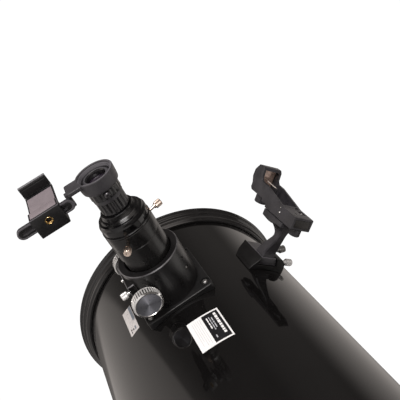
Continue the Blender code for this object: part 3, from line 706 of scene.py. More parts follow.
# ------------------------------------------------------------ tube and rims
bm = bmesh.new()
lathe(bm, [(150, -3), (150, -300), (150, -700), (150, -1197),
           (148.4, -1197), (148.4, -700), (148.4, -300), (148.4, -3)],
      256, TUBE, True, None, lambda r, z: 1 if r < 149 else 0)
ob = to_object("tube_shell", bm, [GLOSS, FLOCK])
carve(ob, [lambda bm: lathe(bm, [(0, 120), (30.6, 120), (30.6, 170),
                                 (0, 170)], 96, FOC)])
place(ob, "tube", ["optical_tube"])

turned("rim_front", [
    (146.6, -0.2, 0.9), (149.4, 0.0, 1.2), (161.8, 0.0, 1.8),
    (163.6, -1.6, 1.4), (163.6, -3.8, 0.7), (161.4, -5.2, 0.5),
    (160.2, -6.2, 0.6), (160.2, -9.6, 1.6), (157.5, -11.4, 0.6),
    (156.9, -12.4, 0.5), (156.9, -18.2, 1.8), (154.4, -20.6, 1.0),
    (153.6, -22.0, 0.4), (150.5, -22.0, 0.2), (150.5, -2.5, 0.4),
    (146.6, -2.5, 0.3)], 256, TUBE, RING_PAINT, "tube", ["front_ring"],
    ring=True, steps=5)
turned("rim_rear", [
    (150.5, -1178, 0.2), (153.6, -1178, 0.6), (157.0, -1181, 1.6),
    (157.0, -1190.5, 0.8), (160.6, -1192.5, 0.7), (163.6, -1195, 1.2),
    (163.6, -1200.4, 1.6), (162.2, -1202, 1.2), (148.6, -1202, 1.0),
    (146.6, -1201, 0.8), (146.6, -1197.6, 0.4), (150.5, -1197.6, 0.3)],
    256, TUBE, RING_PAINT, "tube", ["rear_ring"], ring=True,
    steps=5)

# ----------------------------------------------- secondary, spider, primary


def slanted(bm, r, k0, k1, flat_top=None, n=96):
    lo, hi = [], []
    for i in range(n):
        t = 2 * math.pi * i / n
        x, y = r * math.cos(t), r * math.sin(t)
        lo.append((x, y, x + k0 - FOC_Z))
        hi.append((x, y, (x + k1 if flat_top is None else flat_top) - FOC_Z))
    loft(bm, [lo, hi], TUBE)


bm = bmesh.new()
slanted(bm, 31.5, 0, 9)
ob = to_object("diagonal_mirror", bm, [MIRROR, GROUND_GLASS])
_n = (TUBE.to_3x3() @ Vector((1, 0, -1))).normalized()
for p in ob.data.polygons:
    p.material_index = 0 if p.normal.dot(_n) > 0.9 else 1
soften(ob, 0.5, 2)
place(ob, "tube", ["secondary_mirror"])
bm = bmesh.new()
slanted(bm, 30.0, 9.5, 0, 46.0)
ob = soften(to_object("diagonal_holder", bm, MOULD), 0.8, 3)
place(ob, "tube", ["secondary_holder"])

bm = bmesh.new()
lathe(bm, rounded([(0, -FOC_Z + 46.4), (15, -FOC_Z + 46.4),
                   (15, -FOC_Z + 70), (11, -FOC_Z + 74),
                   (0, -FOC_Z + 74)], 0.8), 96, TUBE)
ob = to_object("spider_hub_and_vanes", bm, ANOD)
vanes = []
for i in range(4):
    fr = TUBE @ Matrix.Rotation(math.radians(45 + 90 * i), 4, "Z")
    vanes.append(lambda bm, fr=fr: box(bm, (10, 147.6), (-0.7, 0.7),
                                       (-FOC_Z + 48, -FOC_Z + 68), fr))
carve(ob, vanes, "UNION")
screws = []
for i in range(3):
    t = math.radians(60 + 120 * i)
    fr = TUBE @ Matrix.Translation((9 * math.cos(t), 9 * math.sin(t), 0))
    screws.append(lambda bm, fr=fr: lathe(bm, [
        (0, -FOC_Z + 72), (1.4, -FOC_Z + 72), (1.4, -FOC_Z + 80),
        (0, -FOC_Z + 80)], 24, fr))
carve(ob, screws)
place(ob, "tube", ["spider"])

# primary: dished front, ground edge
prof = [(0, -1117.2)]
for k in range(1, 13):
    r = 126.2 * k / 12
    prof.append((r, -1117.2 + 3.2 * (r / 126.2) ** 2))
prof += [(127, -1115), (127, -1148.2), (126.2, -1149), (0, -1149)]
bm = bmesh.new()
lathe(bm, prof, 160, TUBE, False, None,
      lambda r, z: 0 if z > -1117.5 and r < 126.3 else 1)
ob = to_object("main_mirror", bm, [MIRROR, GROUND_GLASS])
place(ob, "tube", ["primary_mirror"])

bm = bmesh.new()
lathe(bm, rounded([(34, -1149.4), (127.6, -1149.4), (127.6, -1136.4),
                   (132.6, -1136.4), (132.6, -1158), (147.1, -1158),
                   (147.1, -1172), (34, -1172)], 0.9, 3, True), 192, TUBE,
      True)
ob = to_object("mirror_cell_casting", bm, ANOD)
cuts = []
for i in range(3):
    t = math.radians(30 + 120 * i)
    fr = TUBE @ Matrix.Translation((96 * math.cos(t), 96 * math.sin(t), 0))
    cuts.append(lambda bm, fr=fr: lathe(bm, [
        (0, -1158), (4.6, -1158), (4.6, -1180), (0, -1180)], 32, fr))
for i in range(6):
    t0 = 60 * i + 10 + (0 if i % 2 else 0)

    def pocket(bm, t0=t0):
        pts = arc(0, 0, 84, t0 + 2, t0 + 38, 12) + arc(0, 0, 46, t0 + 36,
                                                       t0 + 4, 8)
        prism(bm, pts, -1180, -1167.5, TUBE)
    cuts.append(pocket)
carve(ob, cuts)
place(ob, "tube", ["mirror_cell"])


def knob_lobes(n, depth, r_min):
    def w(t, r, z):
        return -depth * (0.5 + 0.5 * math.cos(n * t)) ** 2 if r > r_min else 0
    return w


for i in range(3):
    t = math.radians(30 + 120 * i)
    fr = TUBE @ Matrix.Translation((96 * math.cos(t), 96 * math.sin(t), 0))
    turned("cell_knob_%d" % (i + 1), [
        (0, -1160), (4.0, -1160), (4.0, -1184), (8, -1185.5), (12, -1190),
        (12, -1208), (10, -1211), (4.5, -1211), (3.6, -1209.6),
        (0, -1209.6)], 120, fr, GLOSSY_PLASTIC, "collimation_%d" % (i + 1),
        ["collimation_knob_%d" % (i + 1)], f=1.2,
        wave=ribs(20, 0.8, 9.0))

# --------------------------------------------------- bearings and their knobs
for side, sx in (("left", -1), ("right", 1)):
    fr = ALT @ Matrix.Scale(sx, 4, (0, 0, 1))
    bm = bmesh.new()
    lathe(bm, rounded([
        (0, 134), (60, 134), (60, 189.6, 0.2), (69.6, 189.6, 0.6),
        (70, 190.2, 0.4), (70, 194.4, 1.2), (68, 196, 1.0), (54, 196, 0.8),
        (52.5, 194.2, 0.8), (30, 194.2, 0.8), (28.5, 196, 0.8), (0, 196)],
        0.6), 192, fr)
    ob = to_object("altitude_drum_" + side, bm, MOULD)
    cuts = [lambda bm: lathe(bm, [(0, 60), (150.4, 60), (150.4, -1260),
                                  (0, -1260)], 256, TUBE),
            lambda bm, fr=fr: lathe(bm, [(0, 172), (5.5, 172), (5.5, 200),
                                         (0, 200)], 48, fr)]
    for k in range(6):
        t = math.radians(60 * k + 30)
        f2 = fr @ Matrix.Translation((41 * math.cos(t), 41 * math.sin(t), 0))
        cuts.append(lambda bm, f2=f2: lathe(bm, [
            (0, 191.5), (3.2, 191.5), (5.0, 200), (0, 200)], 32, f2))
    carve(ob, cuts)
    place(ob, "tube", ["altitude_bearing_" + side])
    turned("tension_hand_knob_" + side, [
        (0, 174), (5, 174), (5, 196.6, 0.2), (14, 196.6), (22, 201.5, 2.5),
        (22, 214.5, 3), (18, 219.4, 2.5), (9, 220, 0.8), (8, 218.6, 0.6),
        (0, 218.6)], 144, fr, GLOSSY_PLASTIC, "tension_" + side,
        ["tension_knob_" + side], f=0.8,
        wave=knob_lobes(7, 3.0, 15.0))

# ------------------------------------------------------------- focuser base


def base_plate(bm):
    pts = []
    for cx, cy, a0 in ((40, 38.5, 0), (-40, 38.5, 90), (-40, -38.5, 180),
                       (40, -38.5, 270)):
        pts += arc(cx, cy, 4.0, a0, a0 + 90, 6)
    prism(bm, pts, 136, 154.5, FOC)


bm = bmesh.new()
base_plate(bm)
ob = to_object("focuser_saddle", bm, PLATE)
soften(ob, 0.8, 3, 50)
cuts = [lambda bm: lathe(bm, [(0, 60), (150.35, 60), (150.35, -1260),
                              (0, -1260)], 384, TUBE),
        lambda bm: lathe(bm, [(0, 120), (30.6, 120), (30.6, 170), (0, 170)],
                         96, FOC)]
BASE_SCREWS = [(37, -33.5), (-37, -33.5), (37, 33.5), (-37, 33.5)]
for p, q in BASE_SCREWS:
    fr = FOC @ Matrix.Translation((p, q, 0))
    cuts.append(lambda bm, fr=fr: lathe(bm, [
        (0, 149), (2.3, 149), (2.3, 160), (0, 160)], 40, fr))
    cuts.append(lambda bm, fr=fr: lathe(bm, [
        (0, 152.9), (6.0, 152.9), (6.4, 160), (0, 160)], 48, fr))
carve(ob, cuts)
place(ob, "tube", ["focuser_base"])


def hexagon(r, lo, hi, fr):
    return lambda bm: prism(bm, [(r * math.cos(math.radians(60 * k + 15)),
                                  r * math.sin(math.radians(60 * k + 15)))
                                 for k in range(6)], lo, hi, fr)


for i, (p, q) in enumerate(BASE_SCREWS):
    fr = FOC @ Matrix.Translation((p, q, 0))
    turned("saddle_screw_%d" % (i + 1), [
        (0, 149.4), (1.9, 149.4), (1.9, 153.1), (3.5, 153.1, 0.2),
        (3.6, 154.0, 0.3), (2.9, 155.6, 1.0), (1.6, 156.2, 0.6),
        (0, 156.2)], 48, fr, DULL_STEEL, "tube", ["base_screw_%d" % (i + 1)],
        f=0.25, cuts=[hexagon(1.35, 154.6, 160, fr)])

# ---------------------------------------------------------- focuser housing
bm = bmesh.new()
lathe(bm, rounded([
    (29.4, 154.8), (38.2, 154.8), (38.2, 209.9, 0.15), (37.1, 211.0, 0.15),
    (30.2, 210.6, 0.3), (29.4, 209.9, 0.2)], 0.3, 4, True), 216, FOC, True)
ob = to_object("focuser_body", bm, [ANOD, EDGE_HIGHLIGHT])
bm = bmesh.new()
box(bm, (-40.5, -31), (-24, 24), (154.8, 201), FOC)
# the block's chamfer takes the painted highlight grey
blk = soften(to_object("pinion_block", bm, [ANOD, EDGE_HIGHLIGHT]), 1.0, 1, mat=1)
m = ob.modifiers.new("u", "BOOLEAN")
m.operation, m.solver, m.object = "UNION", "EXACT", blk
bake(ob)
bpy.data.objects.remove(blk, do_unlink=True)
SHAFT_P, SHAFT_H, SHAFT_R = -28.9, 183.5, 2.5
SHAFT_FR = along(FOC, (SHAFT_P, 0, SHAFT_H), (0, 1, 0))
LOCK_FR = along(FOC, (SHAFT_P, 0, 175.3), (-1, 0, 0))
TENS_FR = along(FOC, (SHAFT_P, 0, 195.5), (-1, 0, 0))
SET_DIR = (math.cos(math.radians(41)), -math.sin(math.radians(41)), 0)
SET_FR = along(FOC, (0, 0, 180.3), SET_DIR)
SET2_DIR = (math.cos(math.radians(38)), -math.sin(math.radians(38)), 0)
SET2_FR = along(FOC, (0, 0, 195.0), SET2_DIR)
carve(ob, [
    lambda bm: lathe(bm, [(0, -60), (SHAFT_R + 0.35, -60),
                          (SHAFT_R + 0.35, 60), (0, 60)], 40, SHAFT_FR),
    lambda bm: lathe(bm, [(0, -3.0), (2.3, -3.0), (2.3, 20), (0, 20)], 40,
                     LOCK_FR),
    lambda bm: lathe(bm, [(0, 5.0), (1.5, 5.0), (1.5, 20), (0, 20)], 32,
                     TENS_FR),
    lambda bm: lathe(bm, [(0, 33.0), (2.7, 33.0), (2.7, 45), (0, 45)], 48,
                     SET_FR),
    lambda bm: lathe(bm, [(0, 36.8), (1.3, 36.8), (1.3, 45), (0, 45)], 32,
                     SET2_FR),
    # parting line between the cap and the block
    lambda bm: box(bm, (-41, -40.2), (-25, 25), (164.6, 165.2), FOC)])
# the lip's chamfer ring takes the painted highlight grey
refinish(ob, FOC, lambda r, z, c: 37.15 < r < 38.12 and 209.9 < z < 210.98,
         1)
place(ob, "tube", ["focuser_housing"])

turned("set_screw_side", [
    (0, 33.3), (2.2, 33.3), (2.2, 36.9, 0.5), (1.3, 37.9, 0.4), (0, 37.9)],
    48, SET_FR, NICKEL, "tube", ["housing_set_screw"], f=0.3,
    cuts=[hexagon(1.0, 36.4, 40, SET_FR)])
turned("lock_screw_knurled", [
    (0, -2.2), (1.9, -2.2), (1.9, 15.9, 0.1), (2.6, 16.0, 0.2),
    (2.6, 17.2, 0.2), (4.3, 17.2, 0.5), (4.5, 18.2, 0.4), (4.5, 24.6, 0.5),
    (4.0, 25.4, 0.4), (1.6, 25.4, 0.3), (1.2, 24.9, 0.3), (0, 24.9)], 144,
    LOCK_FR, RIDGE_METAL_AND_HIGHLIGHT, "focus_lock", ["focus_lock_knob"], f=0.2,
    wave=ribs(24, 0.30, 4.2))
turned("tension_screw_small", [
    (0, 5.4), (1.2, 5.4), (1.2, 12.0), (2.1, 12.0), (2.1, 13.4),
    (1.2, 14.4), (0, 14.5)], 48, TENS_FR, CHROME, "tube",
    ["focus_tension_screw"], f=0.5,
    cuts=[hexagon(0.8, 13.6, 16, TENS_FR)])

# ------------------------------------------------- draw tube, adapter screws
bm = bmesh.new()
lathe(bm, rounded([
    (25.6, 153.0), (29.0, 153.0), (29.0, 240.4, 0.15), (28.75, 240.6, 0.1),
    (28.75, 241.2, 0.1), (29.0, 241.4, 0.15), (29.0, 259.2, 0.5),
    (28.4, 259.8, 0.4), (25.6, 259.8, 0.4)], 0.3, 3, True), 192, FOC, True)
ob = to_object("draw_tube_turned", bm, DRAW_BLACK)
cuts = [lambda bm: box(bm, (-40, SHAFT_P + SHAFT_R + 0.3), (-20, 20),
                       (140, 225), FOC)]
ADAPTER_SCREWS = [(111.0, 252.4), (-13.0, 252.4)]
for psi, h in ADAPTER_SCREWS:
    d = (math.cos(math.radians(psi)), -math.sin(math.radians(psi)), 0)
    fr = along(FOC, (0, 0, h), d)
    cuts.append(lambda bm, fr=fr: lathe(bm, [
        (0, 20), (2.1, 20), (2.1, 35), (0, 35)], 40, fr))
carve(ob, cuts)
place(ob, "draw", ["draw_tube"])
for i, (psi, h) in enumerate(ADAPTER_SCREWS):
    d = (math.cos(math.radians(psi)), -math.sin(math.radians(psi)), 0)
    fr = along(FOC, (0, 0, h), d)
    turned("knurled_screw_%d" % (i + 1), [
        (0, 25.7), (1.7, 25.7), (1.7, 35.5, 0.1), (2.7, 35.6, 0.2),
        (2.7, 37.4, 0.2), (4.0, 37.4, 0.4), (4.2, 38.2, 0.3),
        (4.2, 44.4, 0.4), (3.7, 45.2, 0.4), (1.7, 45.2, 0.3),
        (1.1, 44.5, 0.3), (0, 44.5)], 132, fr, CHAMPAGNE,
        "adapter_screw_%d" % (i + 1), ["adapter_thumbscrew_%d" % (i + 1)],
        f=0.2, wave=ribs(22, 0.30, 3.9))

# --------------------------------------------------- focus shaft and knobs
turned("pinion_shaft", [(0, -44), (2.5, -44), (2.5, 44), (0, 44)], 48,
       SHAFT_FR, NICKEL, "focus_drive", ["focus_shaft"], f=0.4)
for name, s in (("rear", -1), ("front", 1)):
    fr = SHAFT_FR @ Matrix.Scale(s, 4, (0, 0, 1))
    prof = rounded([
        (0, 44.6), (2.9, 44.6), (2.9, 31.8), (5.0, 31.8, 0.5),
        (5.0, 37.4, 0.5), (16.2, 37.4, 0.5), (17.2, 37.7, 0.2),
        (17.5, 38.0, 0.1), (17.5, 46.7, 0.1), (17.1, 47.0, 0.15),
        (15.6, 48.0, 0.3), (14.9, 48.1, 0.2), (14.6, 47.5, 0.15),
        (14.3, 47.35, 0.1), (0, 47.15)], 0.3, 5)

    def wave(t, r, z):
        if r < 17.15 or z > 46.85 or z < 37.8:
            return 0.0
        c = math.cos(36 * t)
        return -0.85 * min(1.0, max(0.0, 0.5 + 2.2 * (c - 0.1)))
    bm = bmesh.new()
    lathe(bm, prof, 36 * 10, fr, False, wave,
          lambda r, z: 1 if r < 14.5 and z > 47 else 0)
    # knurl faces: sunk ones take the painted shade, raised ones the painted highlight
    inv = fr.inverted()
    for f in bm.faces:
        c = inv @ f.calc_center_median()
        if 37.9 < c.z < 46.8:
            f.material_index = 2 if math.hypot(c.x, c.y) < 17.0 else 3
    ob = to_object("focus_wheel_" + name, bm, [CHROME, FACE, GROOVE_SHADE, RIDGE_METAL_AND_HIGHLIGHT])
    recentre(ob, along(FOC, (SHAFT_P, s * 47.2, SHAFT_H), (0, s, 0)))
    place(ob, "focus_drive", ["focus_knob_" + name])

# ------------------------------------------------ eyepiece adapter, eyepiece
turned("adapter_turned", [
    (16.2, 230), (25.2, 230), (25.2, 260.1), (29.0, 260.1, 0.3),
    (29.0, 262.0, 0.3), (27.6, 262.5, 0.2), (27.6, 263.3, 0.2),
    (28.2, 263.8, 0.3), (28.2, 270.0, 0.6), (27.4, 271.6, 0.3),
    (26.4, 273.0, 0.4), (26.1, 274.6, 0.4), (23.6, 275.4, 0.3),
    (22.9, 276.0, 0.2), (23.3, 276.6, 0.2), (22.5, 277.2, 0.2),
    (22.8, 277.8, 0.2), (21.9, 278.4, 0.2), (20.4, 278.8, 0.2),
    (19.7, 279.6, 0.2), (20.0, 280.2, 0.2), (19.4, 280.8, 0.2),
    (19.7, 281.5, 0.2), (19.1, 282.2, 0.2), (19.0, 283.3, 0.3),
    (18.0, 283.6, 0.3), (16.5, 283.6, 0.2), (16.2, 283.2, 0.1)], 192, FOC,
    ANOD_GLOSS, "draw", ["eyepiece_adapter"], ring=True)

# grip bands and flutes on the eyepiece's barrel


def eyepiece_wave(t, r, z):
    if 285.4 < z < 303.7 and r > 15.2:
        e = min(1.0, (z - 285.4) / 0.8, (303.7 - z) / 0.8)
        return -0.95 * e * (0.5 - 0.5 * math.cos(18 * t)) ** 1.6
    return 0.0


prof = [(10.9, 248), (15.8, 248), (15.8, 284.4, 0.2), (16.3, 284.9, 0.2),
        (16.3, 285.5, 0.1), (16.25, 286.6, 0.1), (16.25, 290.0, 0.1),
        (16.25, 294.5, 0.1), (16.25, 299.0, 0.1), (16.25, 302.6, 0.1),
        (16.3, 303.7, 0.1), (16.2, 304.2, 0.2), (16.2, 321.4, 0.8),
        (15.2, 325.2, 1.6), (13.4, 327.0, 0.8), (12.2, 326.8, 0.5),
        (11.0, 325.0, 0.3), (10.9, 322.2, 0.2)]
bm = bmesh.new()
dense = rounded(prof, 0.3, 4, True)
lathe(bm, dense, 360, FOC, True, eyepiece_wave)
ob = to_object("eyepiece_barrel", bm, [EYE_BLACK, EYE_TOP_HIGHLIGHT])
# the top rim takes the painted highlight grey
refinish(ob, FOC, lambda r, z, c: z > 324.2 and r > 12.0, 1)
place(ob, "eyepiece", ["eyepiece"])
prof = [(0, 316.6), (10.4, 318.4), (10.4, 321.0)]
for k in range(1, 10):
    r = 10.2 * (1 - k / 10)
    prof.append((r, 323.4 - 2.1 * (r / 10.2) ** 2))
prof.append((0, 323.4))
bm = bmesh.new()
lathe(bm, prof, 96, FOC)
place(to_object("eye_lens", bm, LENS), "eyepiece", ["eyepiece_lens"])

# ------------------------------------------------------------- phone ring
def cup_wave(t, r, z):
    if 304.9 < z < 313.6 and r > 17.2:
        e = min(1.0, (z - 304.9) / 0.8, (313.6 - z) / 0.8)
        return -0.5 * e * (0.5 - 0.5 * math.cos(18 * t)) ** 1.6
    return 0.0


bm = bmesh.new()
lathe(bm, rounded([
    (16.8, 304.4), (17.3, 304.4, 0.2), (17.6, 304.9, 0.2),
    (17.6, 306.0, 0.1), (17.6, 309.0, 0.1), (17.6, 312.6, 0.1),
    (17.7, 313.7, 0.2), (18.3, 314.5, 0.3), (19.9, 314.9, 0.4),
    (20.6, 315.7, 0.4), (20.9, 317.4, 0.5), (21.3, 321.6, 0.5),
    (21.8, 330.2, 0.5), (21.4, 331.0, 0.4), (19.5, 331.0, 0.3),
    (19.1, 330.4, 0.2), (18.9, 329.4, 0.2), (18.2, 329.2, 0.2),
    (17.3, 327.4, 0.3), (16.8, 326.6, 0.3), (16.8, 325.0, 0.3)],
    0.4, 4, True), 360, FOC, True, cup_wave)
ob = to_object("phone_ring_cup", bm, [PHONE, CUP_TOP_HIGHLIGHT, EYE_BLACK])
bm = bmesh.new()
pts = arc(-31.6, -10.8, 2.2, 180, 270, 5) + [(-18, -13.0), (-18, 8.5)] + \
    arc(-31.6, 6.3, 2.2, 90, 180, 5)
prism(bm, pts, 326.6, 331.0, FOC)
arm = soften(to_object("arm", bm, PHONE), 0.7, 3)
bm = bmesh.new()
box(bm, (-37.0, -31.6), (-4.2, 0.6), (311.0, 328.0), FOC)
tab = soften(to_object("tab", bm, PHONE), 0.6, 3)
for t in (arm, tab):
    m = ob.modifiers.new("u", "BOOLEAN")
    m.operation, m.solver, m.object = "UNION", "EXACT", t
bake(ob)
for t in (arm, tab):
    bpy.data.objects.remove(t, do_unlink=True)
RSET_FR = along(FOC, (0, 0, 310.5), (0, -1, 0))
carve(ob, [lambda bm: lathe(bm, [(0, 12), (2.3, 12), (2.3, 30), (0, 30)], 40,
                            RSET_FR),
           # the ring's inside, kept clear of the arm
           lambda bm: lathe(bm, [(0, 300), (16.8, 300), (16.8, 326.4),
                                 (18.3, 329.2), (18.9, 329.4), (19.4, 340),
                                 (0, 340)], 192,
                            FOC)])
# the top annulus and upper inner wall take the painted highlight grey
refinish(ob, FOC, lambda r, z, c: (r < 19.0 and z > 325.5) or
         (19.5 < r < 21.3 and z > 330.8 and c.x > -15), 1)
refinish(ob, FOC, lambda r, z, c: 16.85 < r < 17.75 and z < 313.9, 2)
place(ob, "phone_mount", ["phone_ring"])
turned("ring_grub_screw", [
    (0, 16.7), (1.9, 16.7), (1.9, 17.9, 0.1), (3.1, 18.0, 0.2),
    (3.1, 20.6, 0.5), (2.2, 21.6, 0.5), (0, 21.6)], 48, RSET_FR, GRUB_STEEL_AND_HIGHLIGHT,
    "ring_screw", ["ring_set_screw"], f=0.2,
    cuts=[hexagon(1.1, 20.4, 26, RSET_FR)])


def stadium(p0, p1, h, r, n=14):
    return [(hh, pp) for pp, hh in arc(p0, h, r, 90, -90, n)
            + arc(p1, h, r, -90, -270, n)]


bm = bmesh.new()
prism(bm, stadium(-38.1, -90.5, 318, 6.5), -9.5, -4.7, FOC, "y")
ob = to_object("phone_rail_loop", bm, [PHONE, LINE_HIGHLIGHT_GREY])
carve(ob, [lambda bm: prism(bm, stadium(-42, -90.5, 318, 2.2), -12, -7.2,
                            FOC, "y"),
           lambda bm: prism(bm, stadium(-39.5, -90.5, 318, 4.6), -12, -9.1,
                            FOC, "y")])
# the bevels and the rail's border take the painted highlight grey
soften(ob, 0.45, 2, 50, False, 1)
refinish(ob, FOC, lambda r, z, c: c.y < -9.3, 1)
place(ob, "phone_mount", ["phone_rail"])
bm = bmesh.new()
prism(bm, stadium(-39.6, -90.5, 318, 4.3), -9.3, -9.0, FOC, "y")
ob = to_object("rail_inlay", bm, CLAMP_BLACK)
carve(ob, [lambda bm: prism(bm, stadium(-42, -90.5, 318, 2.2), -12, -7.2, FOC,
                            "y")])
place(ob, "phone_mount", [])

# --------------------------------------------------------------- clamp body


def clamp_block(bm):
    pts = []
    for cx, cy, a0 in ((-46.2, 0.3, 0), (-76.8, 0.3, 90),
                       (-76.8, -13.3, 180), (-46.2, -13.3, 270)):
        pts += arc(cx, cy, 1.2, a0, a0 + 90, 4)
    prism(bm, pts, 304.5, 329, FOC)


bm = bmesh.new()
clamp_block(bm)
# the block's bevels take the painted highlight grey
ob = soften(to_object("clamp_block", bm, [CLAMP_BLACK, LINE_HIGHLIGHT_GREY]), 0.7, 2, 50,
            True, 1)
carve(ob, [lambda bm: box(bm, (-70, -53), (0, 36), (304.9, 311.3), FOC)],
      "UNION")
INS_FR = along(FOC, (-61.5, -14.5, 318.5), (0, -1, 0))
carve(ob, [
    lambda bm: box(bm, (-90, -30), (-9.9, -4.3), (311.1, 324.9), FOC),
    lambda bm: box(bm, (-68.2, -54.8), (-11.5, 50), (306.3, 309.9), FOC),
    lambda bm: lathe(bm, [(0, -3.9), (4.5, -3.9), (4.5, 5), (0, 5)], 64,
                     INS_FR)])
place(ob, "clamp", ["phone_clamp_body"])


def thread(t, r, z):
    return 0.28 * math.cos(t + 2 * math.pi * z / 1.0) if r < 3.6 and \
        -3.5 < z < -0.2 else 0.0


prof = [(4.2, -3.6), (4.2, 0.1), (4.0, 0.3), (3.5, 0.3)]
prof += [(3.25, -0.1 - 3.4 * k / 28) for k in range(29)] + [(3.25, -3.6)]
bm = bmesh.new()
lathe(bm, prof, 64, INS_FR, True, thread)
place(to_object("brass_insert", bm, BRASS), "clamp", ["thread_insert"])
# dark bottom of the insert's pocket is the block's own plastic

# --------------------------------------------------------------------- jaw
pts = [(1.9, 322.4), (44.6, 322.4), (46.4, 323.4), (47.0, 325.4)]
pts += [(47.0, 338.8), (46.9, 339.6), (46.5, 340.0), (46.1, 339.6),
        (46.0, 338.1), (44.9, 338.1), (44.8, 339.4), (44.4, 339.9),
        (43.9, 339.5), (43.6, 338.8), (43.6, 329.0), (43.2, 327.4), (42.2, 326.2),
        (40.5, 325.6)]
pts += [(q, 325.5 - 0.55 * math.sin(math.pi * (q - 1.9) / 38.6))
        for q in (36, 32, 28, 24, 20, 16, 12, 8, 5)] + [(1.9, 325.5)]
bm = bmesh.new()
prism(bm, pts, -77.5, -45.5, FOC, "x")
ob = to_object("jaw_moulding", bm, [GLOSSY_PLASTIC, LINE_HIGHLIGHT_GREY])
# the jaw's top ridges take the painted highlight grey
refinish(ob, FOC, lambda r, z, c: z > 339.0, 1)
carve(ob, [lambda bm: box(bm, (-67.8, -55.2), (-9.5, 46.6), (306.7, 309.5),
                          FOC),
           lambda bm: box(bm, (-67.8, -55.2), (43.4, 46.6), (306.7, 324.0),
                          FOC)], "UNION")
place(ob, "jaw", ["phone_clamp_jaw"])
# grey pad set in the plate
bm = bmesh.new()
pp = [(q, 325.58 - 0.55 * math.sin(math.pi * (q - 1.9) / 38.6))
      for q in [3.0 + 1.5 * k for k in range(25)]]
pts = [(q, h - 0.3) for q, h in pp] + [(q, h + 0.12) for q, h in
                                       reversed(pp)]
prism(bm, pts, -76.1, -46.9, FOC, "x")
place(to_object("plate_pad_grey", bm, PAD_GREY), "jaw", [])
bm = bmesh.new()
prism(bm, [(-11.9, 328.7), (-11.9, 329.25), (0.6, 329.25), (0.6, 328.7)],
      -76.1, -46.9, FOC, "x")
place(soften(to_object("block_pad_grey", bm, PAD_GREY), 0.2, 2), "clamp", [])
# black pad on the far jaw, with one shallow step near its top
bm = bmesh.new()
prism(bm, [(43.3, 328.4), (43.3, 338.8), (42.0, 338.8), (41.6, 338.4),
           (41.6, 336.6), (41.2, 336.2), (41.2, 328.8), (41.6, 328.4)],
      -76.5, -46.5, FOC, "x")
ob = soften(to_object("jaw_pad_soft", bm, RUBBER), 0.25, 2, 25)
place(ob, "jaw", ["jaw_pad"])

# -------------------------------------------------------------- finder shoe


def shoe(bm):
    pts = [(-8, -26), (-1, -24.5), (4, -21.6), (9, -17.2), (13, -14.2),
           (16.5, -13.2), (16.5, -11.4), (6, -14.2), (6, 14.2),
           (16.5, 11.4), (16.5, 20), (15.6, 21.2), (11, 26.0), (5, 26.8),
           (-1, 27), (-8, 27)]
    prism(bm, pts, -150, -103, FIND)


bm = bmesh.new()
shoe(bm)
ob = soften(to_object("shoe_casting", bm, SHOE_BLACK), 0.8, 3, 25)
SHOE_SCREWS = [((9.5, 22, -118), (math.sin(math.radians(25)),
                                  math.cos(math.radians(25)), 0)),
               ((7.6, 23, -137), (0.04, 1.0, 0))]
cuts = [lambda bm: lathe(bm, [(0, 60), (150.4, 60), (150.4, -1260),
                              (0, -1260)], 384, TUBE),
        # the front left corner is rounded in plan
        lambda bm: prism(bm, [(-32, -98), (-32, -125)] + [
            (-7.5 - 18.6 * math.sin(a), -121.8 + 18.6 * math.cos(a))
            for a in [math.pi / 2 * k / 14 for k in range(14, -1, -1)]]
            + [(-7.5, -98)], -12, 24, FIND @ frame4(
                (0, 1, 0), (0, 0, 1), (1, 0, 0), (0, 0, 0)))]
for o, d in SHOE_SCREWS:
    fr = along(FIND, o, d)
    cuts.append(lambda bm, fr=fr: lathe(bm, [
        (0, -16), (2.3, -16), (2.3, 12), (0, 12)], 40, fr))
carve(ob, cuts)
place(ob, "tube", ["finder_shoe"])
for i, (o, d) in enumerate(SHOE_SCREWS):
    fr = along(FIND, o, d)
    turned("shoe_knurled_screw_%d" % (i + 1), [
        (0, -6.0), (1.9, -6.0), (1.9, 11.2, 0.1), (2.8, 11.3, 0.2),
        (2.8, 13.4, 0.2), (4.5, 13.6, 0.4), (4.8, 14.4, 0.4),
        (4.8, 21.2, 0.5), (4.2, 22.2, 0.4), (1.8, 22.2, 0.3),
        (1.2, 21.6, 0.3), (0, 21.6)], 144, fr,
        DULL_STEEL if i == 0 else RIDGE_METAL_AND_HIGHLIGHT, "shoe_screw_%d" % (i + 1),
        ["shoe_thumbscrew_%d" % (i + 1)], f=0.2,
        wave=ribs(24, 0.34, 4.5))

# ----------------------------------------------------------- finder bracket
FB = FIND @ frame4((0, 0, 1), (1, 0, 0), (0, 1, 0), (0, 0, 0))
STEM = [(12, -128, -147, 10.0), (21, -129.5, -145.8, 9.6),
        (30, -133.5, -148.5, 8.4), (38, -138.5, -151.3, 6.9),
        (46, -143, -153.5, 5.8), (52, -141.5, -155, 5.8),
        (58, -134, -156.5, 7.2), (65, -121, -158, 11.0)]


def catmull(rows, n):
    out = []
    for k in range(len(rows) - 1):
        p = [rows[max(k - 1, 0)], rows[k], rows[k + 1],
             rows[min(k + 2, len(rows) - 1)]]
        for j in range(n):
            t = j / n
            out.append(tuple(0.5 * (2 * b + (c - a) * t
                                    + (2 * a - 5 * b + 4 * c - d) * t * t
                                    + (3 * b - a - 3 * c + d) * t ** 3)
                             for a, b, c, d in zip(*p)))
    return out + [rows[-1]]


def stem(bm):
    secs = []
    for h, zf, zr, w in catmull(STEM, 4):
        zf = min(zf, zf)
        c = min(1.6, (zf - zr) * 0.12)
        secs.append([(h, -w, zf - c), (h, -w + c, zf), (h, w - c, zf),
                     (h, w, zf - c), (h, w, zr + c), (h, w - c, zr),
                     (h, -w + c, zr), (h, -w, zr + c)])
    loft(bm, secs, FIND)


bm = bmesh.new()
prism(bm, [(6.4, -13.4), (16.1, -10.7), (16.1, 10.7), (6.4, 13.4)], -148,
      -106, FIND)
